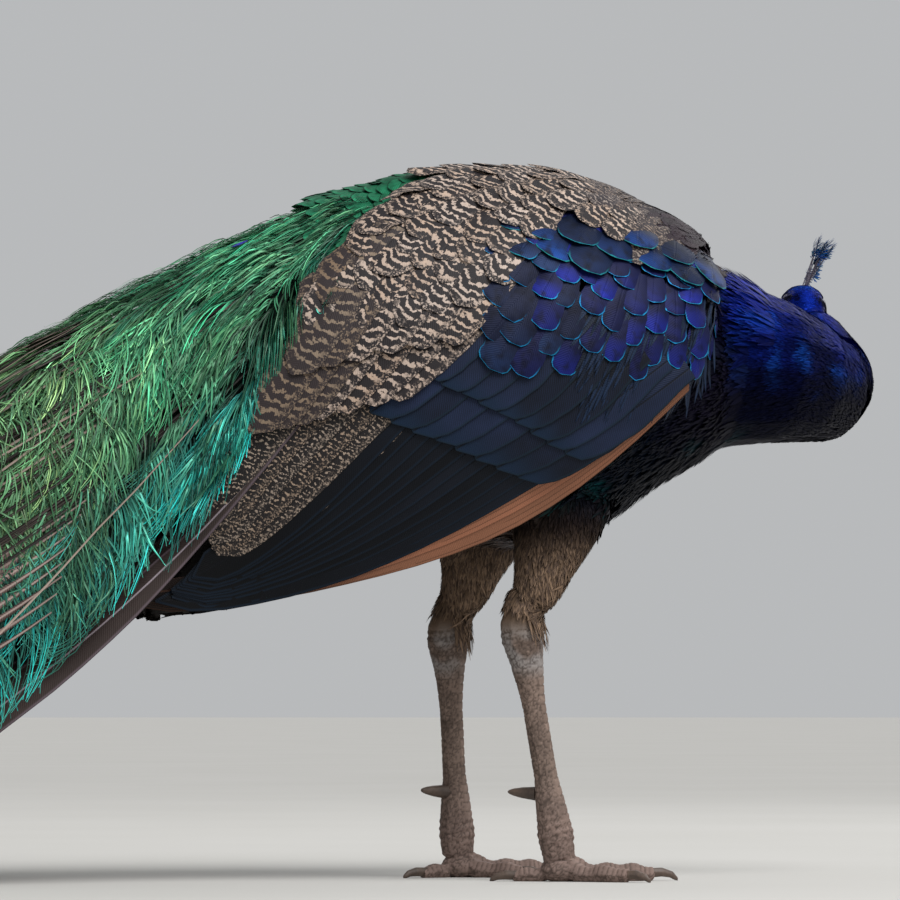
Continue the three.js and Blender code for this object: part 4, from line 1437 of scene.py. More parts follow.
class PEACOCK_OT_wing_coat(bpy.types.Operator):
    """Barred shoulder feathers and blue-rimmed coverts"""

    bl_idname = "peacock.wing_coat"
    bl_label = "Wing coat"

    def execute(self, context):
        sizes, colours = context.scene.peacock_sizes, context.scene.peacock_colours
        umber, cream = rgb(colours.umber) * 0.5, rgb(colours.cream) * 0.85
        barred = barred_vane(
            "Shoulder vanes, barred keratin", sizes.bar / MM, 2.2, umber, cream, 0.5, level=0.38
        )
        broad = barred_vane(
            "Low shoulder vanes, broadly barred keratin", sizes.bar * 1.4 / MM, 2.1, umber, cream, 0.5,
            level=0.36,
        )
        speckled = barred_vane(
            "Front shoulder vanes, finely speckled keratin", 3.8, 3.2, tone("231A1E"), cream * 0.52, 0.6,
            level=0.5,
        )
        brown = barred_vane(
            "Rear shoulder vanes, brown keratin", 7.5, 2.6, tone("2A2122"), tone("8A7866"), 0.45, level=0.4
        )
        violet, rim = rgb(colours.violet) * 0.55, rgb(colours.rim)
        blue = rimmed_vane("Covert vanes, blue rims", violet, rim, tone("17248C"), 1.0)
        dusky = rimmed_vane(
            "Rear covert vanes, slate with blue rims", tone("151A30"), rim * 0.7, tone("1E3660"), 1.0
        )
        teal = rimmed_vane(
            "Shoulder-edge vanes, teal rims", tone("0E1A34"), tone("0D6F80"), tone("123F86"), 1.5
        )
        # The fringe's paler blue streaks are painted highlights.
        fringe = plain_vane(
            "Fringe vanes, streaked blue-black keratin", tone("080B12"), tone("24395A"), tone("182C4A"),
            0.5, 0.1, streak=0.0,
        )
        plum = plain_vane(
            "Front back vanes, smooth brown-purple", tone("1F171C"), tone("35282F"), tone("2A1F29"), 0.6
        )
        covert = sizes.covert

        def kind_on_back(x, s):
            front = x + 0.35 * (60 - s) + rng.normal(0, 9, len(x))
            kind = np.where(x + rng.normal(0, 14, len(x)) < -108, 2, 0)
            kind = np.where(front > 64, 1, kind)
            kind = np.where(front > 84, -1, kind)
            lowest = np.interp(x, [-150, -120, -110, -75, -40, -30], [118, 92, 74, 50, 16, 0])
            return np.where(s < lowest, -1, kind)

        def kind_in_front(x, s):
            front = x + 0.35 * (60 - s) + rng.normal(0, 7, len(x))
            return np.where(front < 60, -1, np.where(front < 94, 0, 1))

        for side, sign in SIDES.items():
            rng = np.random.default_rng(SEEDS["wing_coat"] + sign)
            coverts, scapulars = f"coverts_{side}", f"scapulars_{side}"
            back = ["scapulars_right", "scapulars_left", "mantle", coverts, "trunk", "neck_lower"]
            wing_coat(
                f"fringe_{side}", [], [coverts, f"secondaries_{side}", f"primaries_{side}"], sign,
                (34, 128, 128, 196), (3.4, 8.0), 62, same(0.030), same(0.0016),
                lambda x, s: np.interp(x, [0, 120], [50, 74]), rng, [("", fringe)],
                base=0.0082, lift=0.0024, fray=0.2, jitter=0.22, across=2,
                profile=outline(7, 0.6, 0.5, 1.2),
            )
            wing_coat(
                f"coverts_vanes_{side}", [coverts], [coverts, scapulars], sign, (-20, 150, 20, 158),
                (14.5, 14.5), 66,
                lambda x, s: covert * (1.05 + 0.35 * smoothstep(100, 150, s) + 0.3 * smoothstep(20, -40, x)),
                lambda x, s: 0.0092 - 0.0016 * smoothstep(120, 150, s) * smoothstep(20, 80, x)
                + 0.0040 * smoothstep(30, -30, x),
                lambda x, s: np.interp(x, [-50, 40, 90], [44, 66, 86]),
                rng, [("", blue), ("_rear", dusky)], base=0.0084, lift=0.0030, jitter=0.12,
                choose=lambda x, s: (x + rng.normal(0, 12, len(x)) < 14).astype(int),
                profile=outline(16, 0.5, 0.72, 3.0), across=6, rear=0.0026,
                below=COVERTS_BELOW,
            )
            wing_coat(
                f"shoulder_vanes_{side}", [], [coverts, scapulars, "mantle"], sign, (-8, 124, 66, 96),
                (23, 15), 80, same(0.030), same(0.0150),
                lambda x, s: np.interp(x, [0, 120], [70, 86]), rng, [("", teal)],
                base=0.0102, lift=0.0045, across=6,
            )
            low = {"step": 0.0005, "camber": 0.07, "tilt": 0.14, "profile": outline(18, 0.7, 0.84, 2.4)}
            middle_row = {"step": 0.0004, "camber": 0.08, "tilt": 0.12, "profile": outline(16, 0.7, 0.8, 2.4)}
            middle_row["cut"] = (0.52, 0.72)
            for name, vane, count, half, part, base, shape in (
                ("low", broad, 4, 0.0150, (0.0, 0.6), 0.0100, low),
                ("low_rear", brown, 3, 0.0150, (0.72, 1.0), 0.0116, low),
                ("mid", barred, 4, 0.0140, (0.06, 0.66), 0.0124, middle_row),
                ("mid_rear", brown, 2, 0.0140, (0.82, 0.98), 0.0134, middle_row),
            ):
                quills(
                    f"scapulars_{name}_{side}", [], sign, SCAPULAR_LOW, SCAPULAR_HIGH, count, half, rng, vane,
                    "barred", base, part=part, across=6, lift=0.003, **shape,
                )
            wing_coat(
                f"nape_vanes_{side}", [], back, sign,
                (38, 138, -9, 104), (8.0, 8.0), 46, same(0.019), same(0.0064),
                lambda x, s: np.interp(s, [0, 25, 80, 110], [3, 26, 44, 56]), rng,
                [("", speckled), ("_smooth", plum)], base=0.0124, lift=0.0005, camber=0.06,
                choose=kind_in_front, above=NAPE_ABOVE,
            )
            wing_coat(
                f"scapulars_vanes_{side}", [scapulars], back, sign,
                (-150, 136, -12, 118), (17.0, 16.4), 46,
                lambda x, s: sizes.scapular * (0.60 + 0.40 * smoothstep(90, -60, x)),
                lambda x, s: 0.0100 + 0.0045 * smoothstep(90, -60, x),
                lambda x, s: np.interp(s, [0, 25, 80, 110], [3, 32, 46, 44]) + 10 * smoothstep(-40, -140, x),
                rng, [("", barred), ("_front", speckled), ("_rear", brown)], base=0.0126,
                lift=0.0026, choose=kind_on_back, above=BACK_ABOVE,
            )
        return {"FINISHED"}


# ---- tail ----


class PEACOCK_OT_tail(bpy.types.Operator):
    """Brown tail feathers that carry the train"""

    bl_idname = "peacock.tail"
    bl_label = "Tail"

    def execute(self, context):
        colours = context.scene.peacock_colours
        rng = np.random.default_rng(SEEDS["tail"])
        count = 20
        fan = np.linspace(-1, 1, count)
        t = np.linspace(0, 1, 18)
        root = np.stack([-140 + 0 * fan, 84 * fan, 318 - 8 * fan**2], 1)
        bend = np.stack([-252 - 4 * fan**2, 118 * fan, 204 - 44 * fan**2], 1)
        tip = np.stack([-462 + 26 * abs(fan), 100 * fan, 74 - 24 * fan**2], 1)
        parts = [((1 - t) ** 2)[:, None], (2 * t * (1 - t))[:, None], (t**2)[:, None]]
        lines = root[:, None] * parts[0] + bend[:, None] * parts[1] + tip[:, None] * parts[2]
        beside = abs(local(on_side(lines[..., ::2], 1)[0])[..., 1]) + 10.5
        outer = smoothstep(0.8, 0.95, abs(fan))[:, None] * smoothstep(-262, -235, lines[..., 0])
        lines[..., 1] += np.sign(fan)[:, None] * np.maximum(beside - abs(lines[..., 1]), 0) * outer
        way = unit(np.gradient(lines, axis=1))
        aside = np.array([0, 1.0, 0])
        over = unit(np.cross(aside, way))
        over *= np.where(over[..., 2:3] < 0, -1, 1)
        tilt = np.radians(58 * np.sign(fan) * abs(fan) ** 0.7)[:, None, None]
        normals = unit(over * np.cos(tilt) + aside * np.sin(tilt))
        heights = 0.0008 * (9 - 9 * abs(fan)) + 0.0008 * (fan > 0)
        brown = rgb(colours.tail)
        material = plain_vane(
            "Tail vanes, grey-brown keratin", brown * 0.45, brown * 1.0, brown * 0.3, 0.6, 0.0,
            shaft=tone("A79AA2"), streak=0.3, rim=tone("6E6068"),
        )
        mesh = vanes(
            placed(lines), normals, 0.0145 + 0 * fan, outline(18, 0.12, 0.88, 2.0), rng, 4, heights, 0.0,
            0.12, 0.05, sheet=True,
        )
        add_piece("tail_vanes", mesh, material, nodes=["tail"])
        return {"FINISHED"}


# ---- train ----


@functools.cache
def train_core():
    """The train's closed outline, and the lowest edge, ridge and half width under its barbs, in mm."""
    mesh = remeshed(TRAIN, 0.008, 5)
    points = local(coordinates(mesh))
    stations = np.arange(TRAIN_TIP_X + 8, -66.0, 12)
    rows = []
    for x in stations:
        slab = points[abs(points[:, 0] - x) < 9]
        wide = abs(slab[:, 1]).max()
        outer = slab[abs(slab[:, 1]) > 0.6 * wide]
        loft = np.interp(x, [-700, -420, -150, -110], [2, 9, 10, 4])
        rows.append((outer[:, 2].min(), slab[:, 2].max() - loft, wide - loft / 3))
    rows = np.array(rows)
    rows[1:-1] = (rows[:-2] + 2 * rows[1:-1] + rows[2:]) / 4
    return mesh, stations, rows


def sunk(mesh, depth):
    """A copy of a mesh moved in by depth, in mm, except on its underside."""
    mesh = mesh.copy()
    points, normals = coordinates(mesh), point_normals(mesh)
    deep = depth * (1 - 0.85 * np.clip(-normals[:, 2], 0, 1))
    points = points - normals * (deep * MM)[:, None]
    points[:, 2] = np.maximum(points[:, 2], 0.0)
    moved(mesh, points).shade_smooth()
    return mesh


def train_section(x):
    _, stations, rows = train_core()
    return [np.interp(x, stations, rows[:, i]) for i in range(3)]


ROUNDNESS = 2.4  # the train's sections are rounded boxes, fuller than ovals
FRONT_LINE = [
    (-460, -10), (-349, 98), (-323, 124), (-297, 150), (-264, 184), (-241, 202), (-216, 224), (-193, 263),
    (-181, 300), (-160, 340), (-135, 376), (-118, 412), (-63, 446),
]


def front_line(x):
    """Height of the line, in side view, where the train's loose barbs end over the wing."""
    return np.interp(x, *zip(*FRONT_LINE))


def train_normals(points):
    """Directions out of the train at points near its outline, in mm."""
    x, y, z = points[..., 0], points[..., 1], points[..., 2]
    under, ridge, wide = train_section(x)
    tall = np.maximum(ridge - under, 6)
    ahead, behind = train_section(x + 12), train_section(x - 12)
    under_slope, ridge_slope, wide_slope = ((a - b) / 24 for a, b in zip(ahead, behind))
    up, out = np.clip((z - under) / tall, 0, 1.2), abs(y) / wide
    rise, flat = up ** (ROUNDNESS - 1) / tall, out ** (ROUNDNESS - 1) / wide
    slope = -flat * out * wide_slope - rise * (under_slope + up * (ridge_slope - under_slope))
    return unit(np.stack([slope, np.sign(y) * flat, np.maximum(rise, 0.02 / tall)], -1))


def on_train(x, turn, height=0.0):
    """Places on the train's outline: turn is 0 at the ridge and a quarter circle at the side."""
    under, ridge, wide = train_section(x)
    power = 2 / ROUNDNESS
    y = wide * np.sign(turn) * abs(np.sin(turn)) ** power
    z = under + (ridge - under) * np.clip(np.cos(turn), 0, 1) ** power
    places = np.stack([x + 0 * y, y, z], -1)
    return places + train_normals(places) * np.asarray(height)[..., None]


def keep_outside(points, height, cling=0.0):
    """Pushes points out of the train and the wing, in from the sides' limit, and up from the floor.

    cling is the share by which points that stand off the train are drawn back to it.
    """
    x, y, z = points[..., 0], points[..., 1], points[..., 2]
    under, ridge, wide = train_section(x)
    tall = np.maximum(ridge - under, 8)
    up = (z - under) / tall
    ratio = ((abs(y) / wide) ** ROUNDNESS + np.clip(up, 0, None) ** ROUNDNESS) ** (1 / ROUNDNESS)
    ratio = np.maximum(ratio, 1e-3)
    least = 1 + height / np.minimum(wide, tall)
    above = up > -0.02
    grow = np.where(above & (ratio < least), least / ratio, 1.0)
    grow = np.where((up > 0.05) & (ratio > least), 1 + cling * (least / ratio - 1), grow)
    out = abs(y) * grow
    limit = np.where(x > -300, 200.0, wide - 6)
    out = np.where(out > limit, limit + 14 * np.tanh((out - limit) / 14), out)
    z = np.where(above, under + up * tall * grow, z)
    by_wing = smoothstep(50, 14, z - front_line(x)) * smoothstep(-262, -235, x) * smoothstep(404, 366, z)
    beside = abs(local(on_side(np.stack([x, z], -1), 1)[0])[..., 1]) + 15.0
    out = out + np.maximum(beside - out, 0) * by_wing
    return np.stack([np.maximum(x, TRAIN_TIP_X - 4), np.sign(y) * out, np.maximum(z, 1.0)], -1)


def hang(starts, ways, lengths, steps, droop, curl, height, cling=0.0):
    """Lines of loose barbs: each leaves its own way, then falls and curls along the train."""
    place, way = starts, unit(ways)
    step = (lengths / steps)[:, None]
    lines = [place]
    for _ in range(steps):
        place = keep_outside(place + way * step, height, cling)
        way = unit(place - lines[-1])
        lines.append(place)
        turn = np.cross(train_normals(place), way) * np.asarray(curl)[..., None]
        way = unit(way + (np.array([0, 0, -1.0]) * np.asarray(droop)[..., None] + turn) * step)
    return np.stack(lines, 1)


def train_map(places):
    """Places on an unwrap of the train: along it, and round it."""
    under, ridge, wide = train_section(places[:, 0])
    rise = np.maximum(places[:, 2] - under, 0) / np.maximum(ridge - under, 6)
    turn = np.arctan2(places[:, 1] / wide, rise)
    return np.stack([0.02 + 0.96 * (places[:, 0] - TRAIN_TIP_X) / 1250, 0.5 + 0.3 * turn], 1)


def train_vanes(lines, half, profile, rng, *rest, sheet=False, **more):
    """A mesh of feathers that lie on the train, from lines in mm."""
    spots = None if sheet else train_map(lines[:, 0])
    facing = train_normals(lines)
    return vanes(placed(lines), facing, half, profile, rng, *rest, places=spots, sheet=sheet, **more)


def barb_tint(starts, colours, rng):
    """Emerald near the root, gold green further down, turquoise along the lower edge."""
    x, _, z = starts.T
    under, ridge, _ = train_section(x)
    level = (z - under) / np.maximum(ridge - under, 1)
    emerald, gold, turquoise = rgb(colours.emerald), rgb(colours.gold), rgb(colours.turquoise)
    far = smoothstep(-170, -380, x)
    tint = mix(emerald, gold, np.clip(far * 0.75 + 0.5 * (rng.random(len(x)) - 0.45), 0, 0.9))
    low = smoothstep(0.6, 0.2, level) * smoothstep(-560, -330, x)
    tint = mix(tint, turquoise, np.clip(low * 0.95 + 0.25 * (rng.random(len(x)) - 0.6), 0, 1))
    # Darker in soft patches: painted shade in the gaps between clumps of barbs; the barbs are also dimmer
    # further down the train.
    patch = cloud(starts / 34, 1)
    patch = (0.45 + 1.25 * smoothstep(0.3, 0.72, patch))[:, None] * (1.25 - 0.4 * far[:, None])
    return tint * patch * (0.18 + 1.2 * rng.random((len(x), 1)) ** 1.6)


def comb(shafts, per_side, reach, lean, rng, spread=0.12):
    """Barbs on both sides of each shaft: their starts, directions and lengths."""
    count, stations = shafts.shape[:2]
    spots = np.linspace(0.04, 0.985, per_side) * (stations - 1)
    low = np.minimum(spots.astype(int), stations - 2)
    part = (spots - low)[None, :, None]
    place = shafts[:, low] * (1 - part) + shafts[:, low + 1] * part
    way = unit(shafts[:, low + 1] - shafts[:, low])
    aside = np.cross(train_normals(place), way)
    share = spots / (stations - 1)
    starts, ways, lengths = [], [], []
    for sign in (-1, 1):
        forward = lean + 1.5 * share[None, :, None] ** 2.5
        starts.append(place)
        ways.append(way * forward + aside * sign + rng.normal(0, spread, place.shape))
        full = np.sin(np.clip(share * 1.05 + 0.12, 0, 1) * math.pi) ** 0.45
        varied_by = 0.8 + 0.4 * rng.random((count, per_side))
        lengths.append(np.broadcast_to(reach, (count,))[:, None] * full * varied_by)
    flat = [np.concatenate([part.reshape(-1, 3) for part in group]) for group in (starts, ways)]
    return flat[0], flat[1], np.concatenate([part.ravel() for part in lengths])


PIECE_LIMIT = 190_000  # triangles in one piece of barbs


def add_barbs(name, lines, half, tint, strength, material, seed):
    """Adds many barbs as pieces that each stay under the limit of triangles."""
    order = np.argsort(lines[:, 0, 0])
    pieces = math.ceil(len(lines) * (lines.shape[1] - 1) * 2 / PIECE_LIMIT)
    for i, part in enumerate(np.array_split(order, pieces)):
        rng = np.random.default_rng(seed + i)
        own = lines[part]
        widths = half * (0.75 + 0.5 * rng.random(len(part)))
        profile = np.linspace(1, 0.35, lines.shape[1])
        mesh = train_vanes(own, widths, profile, rng, across=1, lift=0.0, roll=0.35)
        painted(mesh, tint[part], strength)
        add_piece(f"{name}_{i + 1}" if pieces > 1 else name, mesh, material)


EYE_ROWS = [-440, -505, -570, -635, -700, -765, -830, -895, -955, -1015, -1070, -1120, -1165, -1205]
EYES_IN_ROW = [6, 7, 8, 9, 9, 9, 9, 9, 9, 9, 9, 9, 8, 7]


def long_feathers(rng):
    """End and side angle of each long train feather, so that the eyespots lie in staggered rows."""
    ends, turns = [], []
    for j, (x, count) in enumerate(zip(EYE_ROWS, EYES_IN_ROW)):
        spread = np.radians(np.interp(x, [-600, -440], [78, 62]))
        turn = np.linspace(-spread, spread, count) + (j % 2) * spread / count * 0.9
        turns.append(np.clip(turn + rng.normal(0, 0.04, count), -1.45, 1.45))
        ends.append(x + rng.normal(0, 10, count))
    return np.concatenate(ends), np.concatenate(turns)


def either_side(count, rng):
    return np.where(rng.random(count) < 0.5, 1, -1)


# Rows of short feathers that close the train's end: how many, how far round in degrees, x and reach in mm.
END_ROWS = ((46, 86, -1168, 24.0), (30, 60, -1122, 28.0), (26, 60, -1066, 30.0), (24, 56, -1010, 30.0))


def shaded_train_core():
    """The train's dark body under its barbs: its near-black greens are painted shade, for the depth between
    the barbs.
    """
    along = local(coordinates(train_core()[0]))[:, 0]
    mesh = sunk(train_core()[0], np.interp(along, [-1200, -900, -600, -230, -130], [1.5, 3, 11, 15, 9]))
    points = coordinates(mesh)
    shade = cloud(points, 70)[:, None]
    note(mesh, "plumage", tone("04120E") + (tone("0D3A2C") - tone("04120E")) * shade**2)
    # Dark core: painted shade under the barbs.
    add_piece("train_core", mesh, skin_material("Train core, dark as painted shade, matt"), nodes=TRAIN)


def train_feathers(colours, barb, barbs, rng):
    """The long feathers' shafts and their barbs. Gives each feather's end and side angle."""
    ends, turns = long_feathers(rng)
    count = len(ends)
    t = np.linspace(0, 1, 36)
    begin = -150 - 60 * rng.random(count)
    x = begin[:, None] + (ends - begin)[:, None] * t
    sway = turns[:, None] * (0.86 + 0.14 * t) + 0.03 * np.sin(t * 5 + rng.random((count, 1)) * 6)
    rise = 1.0 + 5.0 * smoothstep(-230, -330, x) * smoothstep(-900, -600, x)
    shafts = on_train(x, sway, rise)
    mesh = train_vanes(shafts, np.full(count, 0.0010), np.linspace(1, 0.5, 36), rng, 2, camber=-0.9)
    # Most shafts are painted dark, and all darker towards the root: painted shade, as they lie deep among the
    # barbs.
    pale = rgb(colours.shaft) * (0.06 + 0.8 * rng.random((count, 1)) ** 5)
    painted(mesh, pale, 0.35 + 0.65 * smoothstep(0.1, 0.5, t))
    add_piece("train_shafts", mesh, barb_material("Train shafts, pale keratin"))

    starts, ways, lengths = [], [], []
    for k in range(count):
        run = min(340.0, abs(ends[k] - begin[k]))
        spots = np.arange(ends[k] + 4, ends[k] + run, 3.3)
        spots = spots + rng.normal(0, 0.8, len(spots))
        place = on_train(spots, np.interp(-spots, -x[k], sway[k]), np.full(len(spots), 1.6))
        normal = train_normals(place)
        back = tangent(np.broadcast_to(np.array([-1.0, 0, -0.3]), place.shape), normal)
        aside = np.cross(normal, back)
        for sign in (-1, 1):
            starts.append(place)
            lean = 0.55 + 0.5 * rng.random((len(spots), 1))
            free = smoothstep(-600, -400, spots)[:, None]
            down = tangent(np.broadcast_to(np.array([-0.5, 0, -1.0]), place.shape), normal)
            comb_way = back * lean + aside * sign + rng.normal(0, 0.12, place.shape)
            ways.append(comb_way * (1 - 0.8 * free) + down * free)
            near_eye = smoothstep(0, 60, spots - ends[k])
            lengths.append(barb * (0.4 + 0.6 * near_eye) * (0.7 + 0.6 * rng.random(len(spots))))
    starts, ways, lengths = np.concatenate(starts), np.concatenate(ways), np.concatenate(lengths)
    loose = smoothstep(-560, -360, starts[:, 0])
    curl = rng.normal(0, 0.010 + 0.006 * loose, len(starts)) + 0.014 * loose * np.sign(starts[:, 1])
    height = 1.0 + 3.0 * rng.random(len(starts))
    lines = hang(starts, ways, lengths, 4, 0.010 + 0.03 * loose, curl, height, 0.7)
    # Barbs are darker towards the root: painted shade deep in the train.
    strength = [0.45, 0.8, 1.0, 1.1, 1.15]
    add_barbs("train_barbs", lines, 0.00040, barb_tint(starts, colours, rng), strength, barbs, seed=60)
    return ends, turns


def hanging_barbs(colours, barb, barbs, rng):
    """Loose barbs that hang over the train's sides, gathered in tufts and parted in locks."""
    # strength darkens each barb towards its root as painted shade deep in the train.
    for name, count_of, strands, first, spread, reach, gather, half, strength, light in (
        ("train_tufts", 620, 17, -118, (9, 9), 0.66, -0.5, 0.00062,
         [0.25, 0.6, 0.95, 1.15, 1.0, 0.8], 0.4),
        ("train_locks", 1250, 14, -112, (14, 22), 1.15, 0.35, 0.00040,
         [0.15, 0.5, 0.9, 1.1, 1.25, 1.3], 0.1),
    ):
        x = first - 540 * rng.random(count_of) ** 1.3
        turn = np.radians(90 * (1 - rng.random(count_of) ** 1.3)) * either_side(count_of, rng)
        fan = spread[0] + spread[1] * rng.random((count_of, 1))
        spots = np.linspace(-0.5, 0.5, strands)[None] * fan
        x = x[:, None] - spots
        turn = turn[:, None] + spots * 0.002 * rng.normal(0, 1, (count_of, 1))
        start = on_train(x, turn, 1.0 + 4.0 * rng.random((count_of, strands)))
        drift = np.interp(x[:, :1], [-330, -240, -180, -125], [0.5, 0.1, -0.8, -2.2])
        drift = drift + rng.normal(0, 0.3, (count_of, 1)) + rng.normal(0, 0.1, (count_of, strands))
        drift = -1.2 + (drift + 1.2) * smoothstep(0.15, 0.6, abs(turn))
        down = np.stack([drift, 0 * drift, -np.ones_like(drift)], -1)
        starts = start.reshape(-1, 3)
        near = np.interp(starts[:, 0], [-310, -240, -130], [1.2, 0.95, 0.45])
        lengths = barb * reach * near * (0.75 + 0.5 * rng.random(len(starts)))
        bend = (0.006 + 0.022 * smoothstep(-170, -300, starts[:, 0])) * np.sign(starts[:, 1])
        curl = rng.normal(0.8, 0.5, (count_of, 1)) + rng.normal(0, 0.35, (count_of, strands))
        curl = curl.ravel() * bend
        ways = tangent(down, train_normals(start)).reshape(-1, 3)
        lines = hang(starts, ways, lengths, 5, 0.022, curl, 1.0 + 5.0 * rng.random(len(starts)), 0.6)
        groups = lines.reshape(count_of, strands, 6, 3)
        pull = gather * (0.4 + 1.2 * rng.random((count_of, 1, 1, 1)))
        pull = pull * np.linspace(0, 1, 6)[:, None] ** 1.5
        lines = (groups + (groups.mean(axis=1, keepdims=True) - groups) * pull).reshape(-1, 6, 3)
        tint = np.repeat(barb_tint(start[:, 0], colours, rng), strands, axis=0)
        # Painted light: pale green mixed in for the sunlit strands, most on the tufts.
        tint = mix(tint, tone("6DB583") * (0.5 + 0.5 * rng.random((len(tint), 1))), light)
        tint = tint * (0.6 + 0.8 * rng.random((len(starts), 1)))
        seen = lines[:, -1, 2] > front_line(lines[:, -1, 0]) - 10 * rng.random(len(lines))
        seen &= (lines[:, 2:, 2] > front_line(lines[:, 2:, 0]) - 8).all(axis=1)
        add_barbs(name, lines[seen], half, tint[seen], strength, barbs, seed=100)


def train_sides(colours):
    """Ragged vanes and bare quills along the lower edges."""
    for side, sign in SIDES.items():
        own = np.random.default_rng(SEEDS["low"] + sign)
        low = 9
        x = np.linspace(-286, -312, low)[:, None] + np.linspace(0, -190, 16)
        turn = np.radians(np.linspace(71, 88, low))[:, None] * sign + 0 * x
        rise = np.linspace(1, 0.1, 16) * (4.0 + 2 * own.random((low, 1)))
        lines = on_train(x, turn, rise)
        ragged = plain_vane(
            f"Lower train vanes {side}, ragged pale keratin", tone("4A3C38"), tone("8F7A74"),
            tone("6A5C50"), 0.6, shaft=tone("A8968E"), streak=0.6,
        )
        mesh = train_vanes(
            lines, np.full(low, 0.0058), outline(16, 0.1, 0.7, 1.6), own, 8, fray=0.9, camber=0.2,
            sheet=True,
        )
        add_piece(f"train_low_{side}", mesh, ragged)
        t = np.linspace(0, 1, 24)
        bare = np.array([(-212, -346, 74, 86), (-278, -460, 16, 30), (-250, -470, 52, 50)])
        x = bare[:, :1] + (bare[:, 1:2] - bare[:, :1]) * t
        turn = np.radians(bare[:, 2:3] + (bare[:, 3:] - bare[:, 2:3]) * t) * sign
        lines = on_train(x, turn, 6.0 + 3 * t + 0 * x)
        mesh = train_vanes(lines, np.full(3, 0.0007), np.linspace(0.5, 1, 24), own, 2, camber=-0.9)
        painted(mesh, np.broadcast_to(rgb(colours.shaft) * 0.7, (3, 3)), np.linspace(0.6, 1, 24))
        quill = barb_material(f"Bare quills {side}, pale keratin")
        add_piece(f"train_quills_{side}", mesh, quill)


def eyespots(size, ends, turns, rng):
    """An eyespot at each long feather's end, and the glint of a young one on the back."""
    count = len(ends)
    start = on_train(ends + size * 0.4, turns, np.full(count, 2.0))
    back = tangent(np.broadcast_to(np.array([-1.0, 0, 0]), start.shape), train_normals(start))
    lines = hang(start, back, np.full(count, size), 12, 0.004, np.zeros(count), 2.6, 0.95)
    mesh = train_vanes(
        lines, np.full(count, 0.0165), outline(13, 0.4, 0.5, 2.0), rng, 8, 0.0015, 0.001, 0.05, 0.08,
        sheet=True,
    )
    add_piece("train_eyespots", mesh, eyespot_material())

    glint = on_train(np.linspace(-176, -187, 7)[None], np.full((1, 7), -0.36), 8.0)
    mesh = train_vanes(glint, np.array([0.0017]), outline(7, 0.5, 0.6, 1.6), rng, 4, sheet=True)
    violet = plain_vane(
        "Young eyespot, violet-blue", tone("20189A"), tone("3528B8"), tone("1C2A8C"), 0.4, 0.3
    )
    add_piece("train_glint", mesh, violet)


def train_end(colours, barbs, rng):
    """Rows of short feathers that close the train's end."""
    for row, (tips, widest, front, reach) in enumerate(END_ROWS):
        turn = np.radians(np.linspace(-widest, widest, tips)) + rng.normal(0, 0.02, tips)
        x = front - 26 * rng.random(tips) + 30 * abs(np.sin(turn)) ** 3
        start = on_train(x, turn, np.full(tips, 2.0))
        aim = np.stack([-np.ones(tips), 0.25 * np.sin(turn), -0.1 * np.ones(tips)], -1)
        back = tangent(aim, train_normals(start))
        lengths, curl = 76 + 14 * rng.random(tips), rng.normal(0, 0.002, tips)
        shafts = hang(start, back, lengths, 8, 0.004, curl, 1.5)
        starts, ways, lengths = comb(shafts, 40, np.full(tips, reach), 0.9, rng)
        curl = rng.normal(0, 0.006, len(starts))
        lines = hang(starts, ways, lengths, 3, 0.01, curl, 1.5 - 0.4 * row, 0.6)
        tint = mix(barb_tint(starts, colours, rng) * 1.3, tone("5A4A26"), rng.random(len(starts)) * 0.4)
        # Darker at the root: painted shade among the barbs.
        strength = [0.7, 0.9, 1.0, 1.0]
        add_barbs(f"train_end_barbs_{row + 1}", lines, 0.0006, tint, strength, barbs, seed=120 + row)


def back_scales(colours):
    """Round metallic scales on the middle of the back."""
    emerald = rgb(colours.emerald)
    green = rimmed_vane(
        "Back scales, metallic green with dark edges", emerald * 0.6, tone("03100B"), emerald * 1.1,
        1.2, 0.45,
    )
    for side, sign in SIDES.items():
        own = np.random.default_rng(SEEDS["back"] + sign)
        under_scales = ["mantle", "train_root", "scapulars_right", "scapulars_left"]
        roots, normals, x, around = tract(
            under_scales, sign, (-124, -14, -5, 112), 8.5, 7.5, 10, own, 0.1
        )
        turn = np.interp(around, [0, 60, 120], [2, 16, 40]) + own.normal(0, 5, len(x))
        lengths = np.interp(x, [-124, -40], [0.020, 0.015])
        lines, normals = cover_surface().lay(roots, headings(normals, sign, turn), lengths, 10)
        mesh = vanes(
            lines, normals, np.full(len(x), 0.0062), ROUND_TIP, own, 4, 0.0092, 0.0022, 0.14, 0.15,
            roll=0.08, sheet=True,
        )
        add_piece(f"back_scales_{side}", mesh, green, nodes=["mantle"] if sign == 1 else [])


class PEACOCK_OT_train(bpy.types.Operator):
    """Train: a dark core painted as the shade under the barbs, shafts, eyespots and thousands of loose barbs
    """

    bl_idname = "peacock.train"
    bl_label = "Train"

    def execute(self, context):
        sizes, colours = context.scene.peacock_sizes, context.scene.peacock_colours
        rng = np.random.default_rng(SEEDS["train"])
        barb = sizes.barb / MM
        barbs = barb_material("Train barbs, structural green")
        # Dark core: painted shade under the barbs.
        shaded_train_core()
        ends, turns = train_feathers(colours, barb, barbs, rng)
        hanging_barbs(colours, barb, barbs, rng)
        train_sides(colours)
        eyespots(sizes.eye_vane / MM, ends, turns, rng)
        train_end(colours, barbs, rng)
        back_scales(colours)
        return {"FINISHED"}


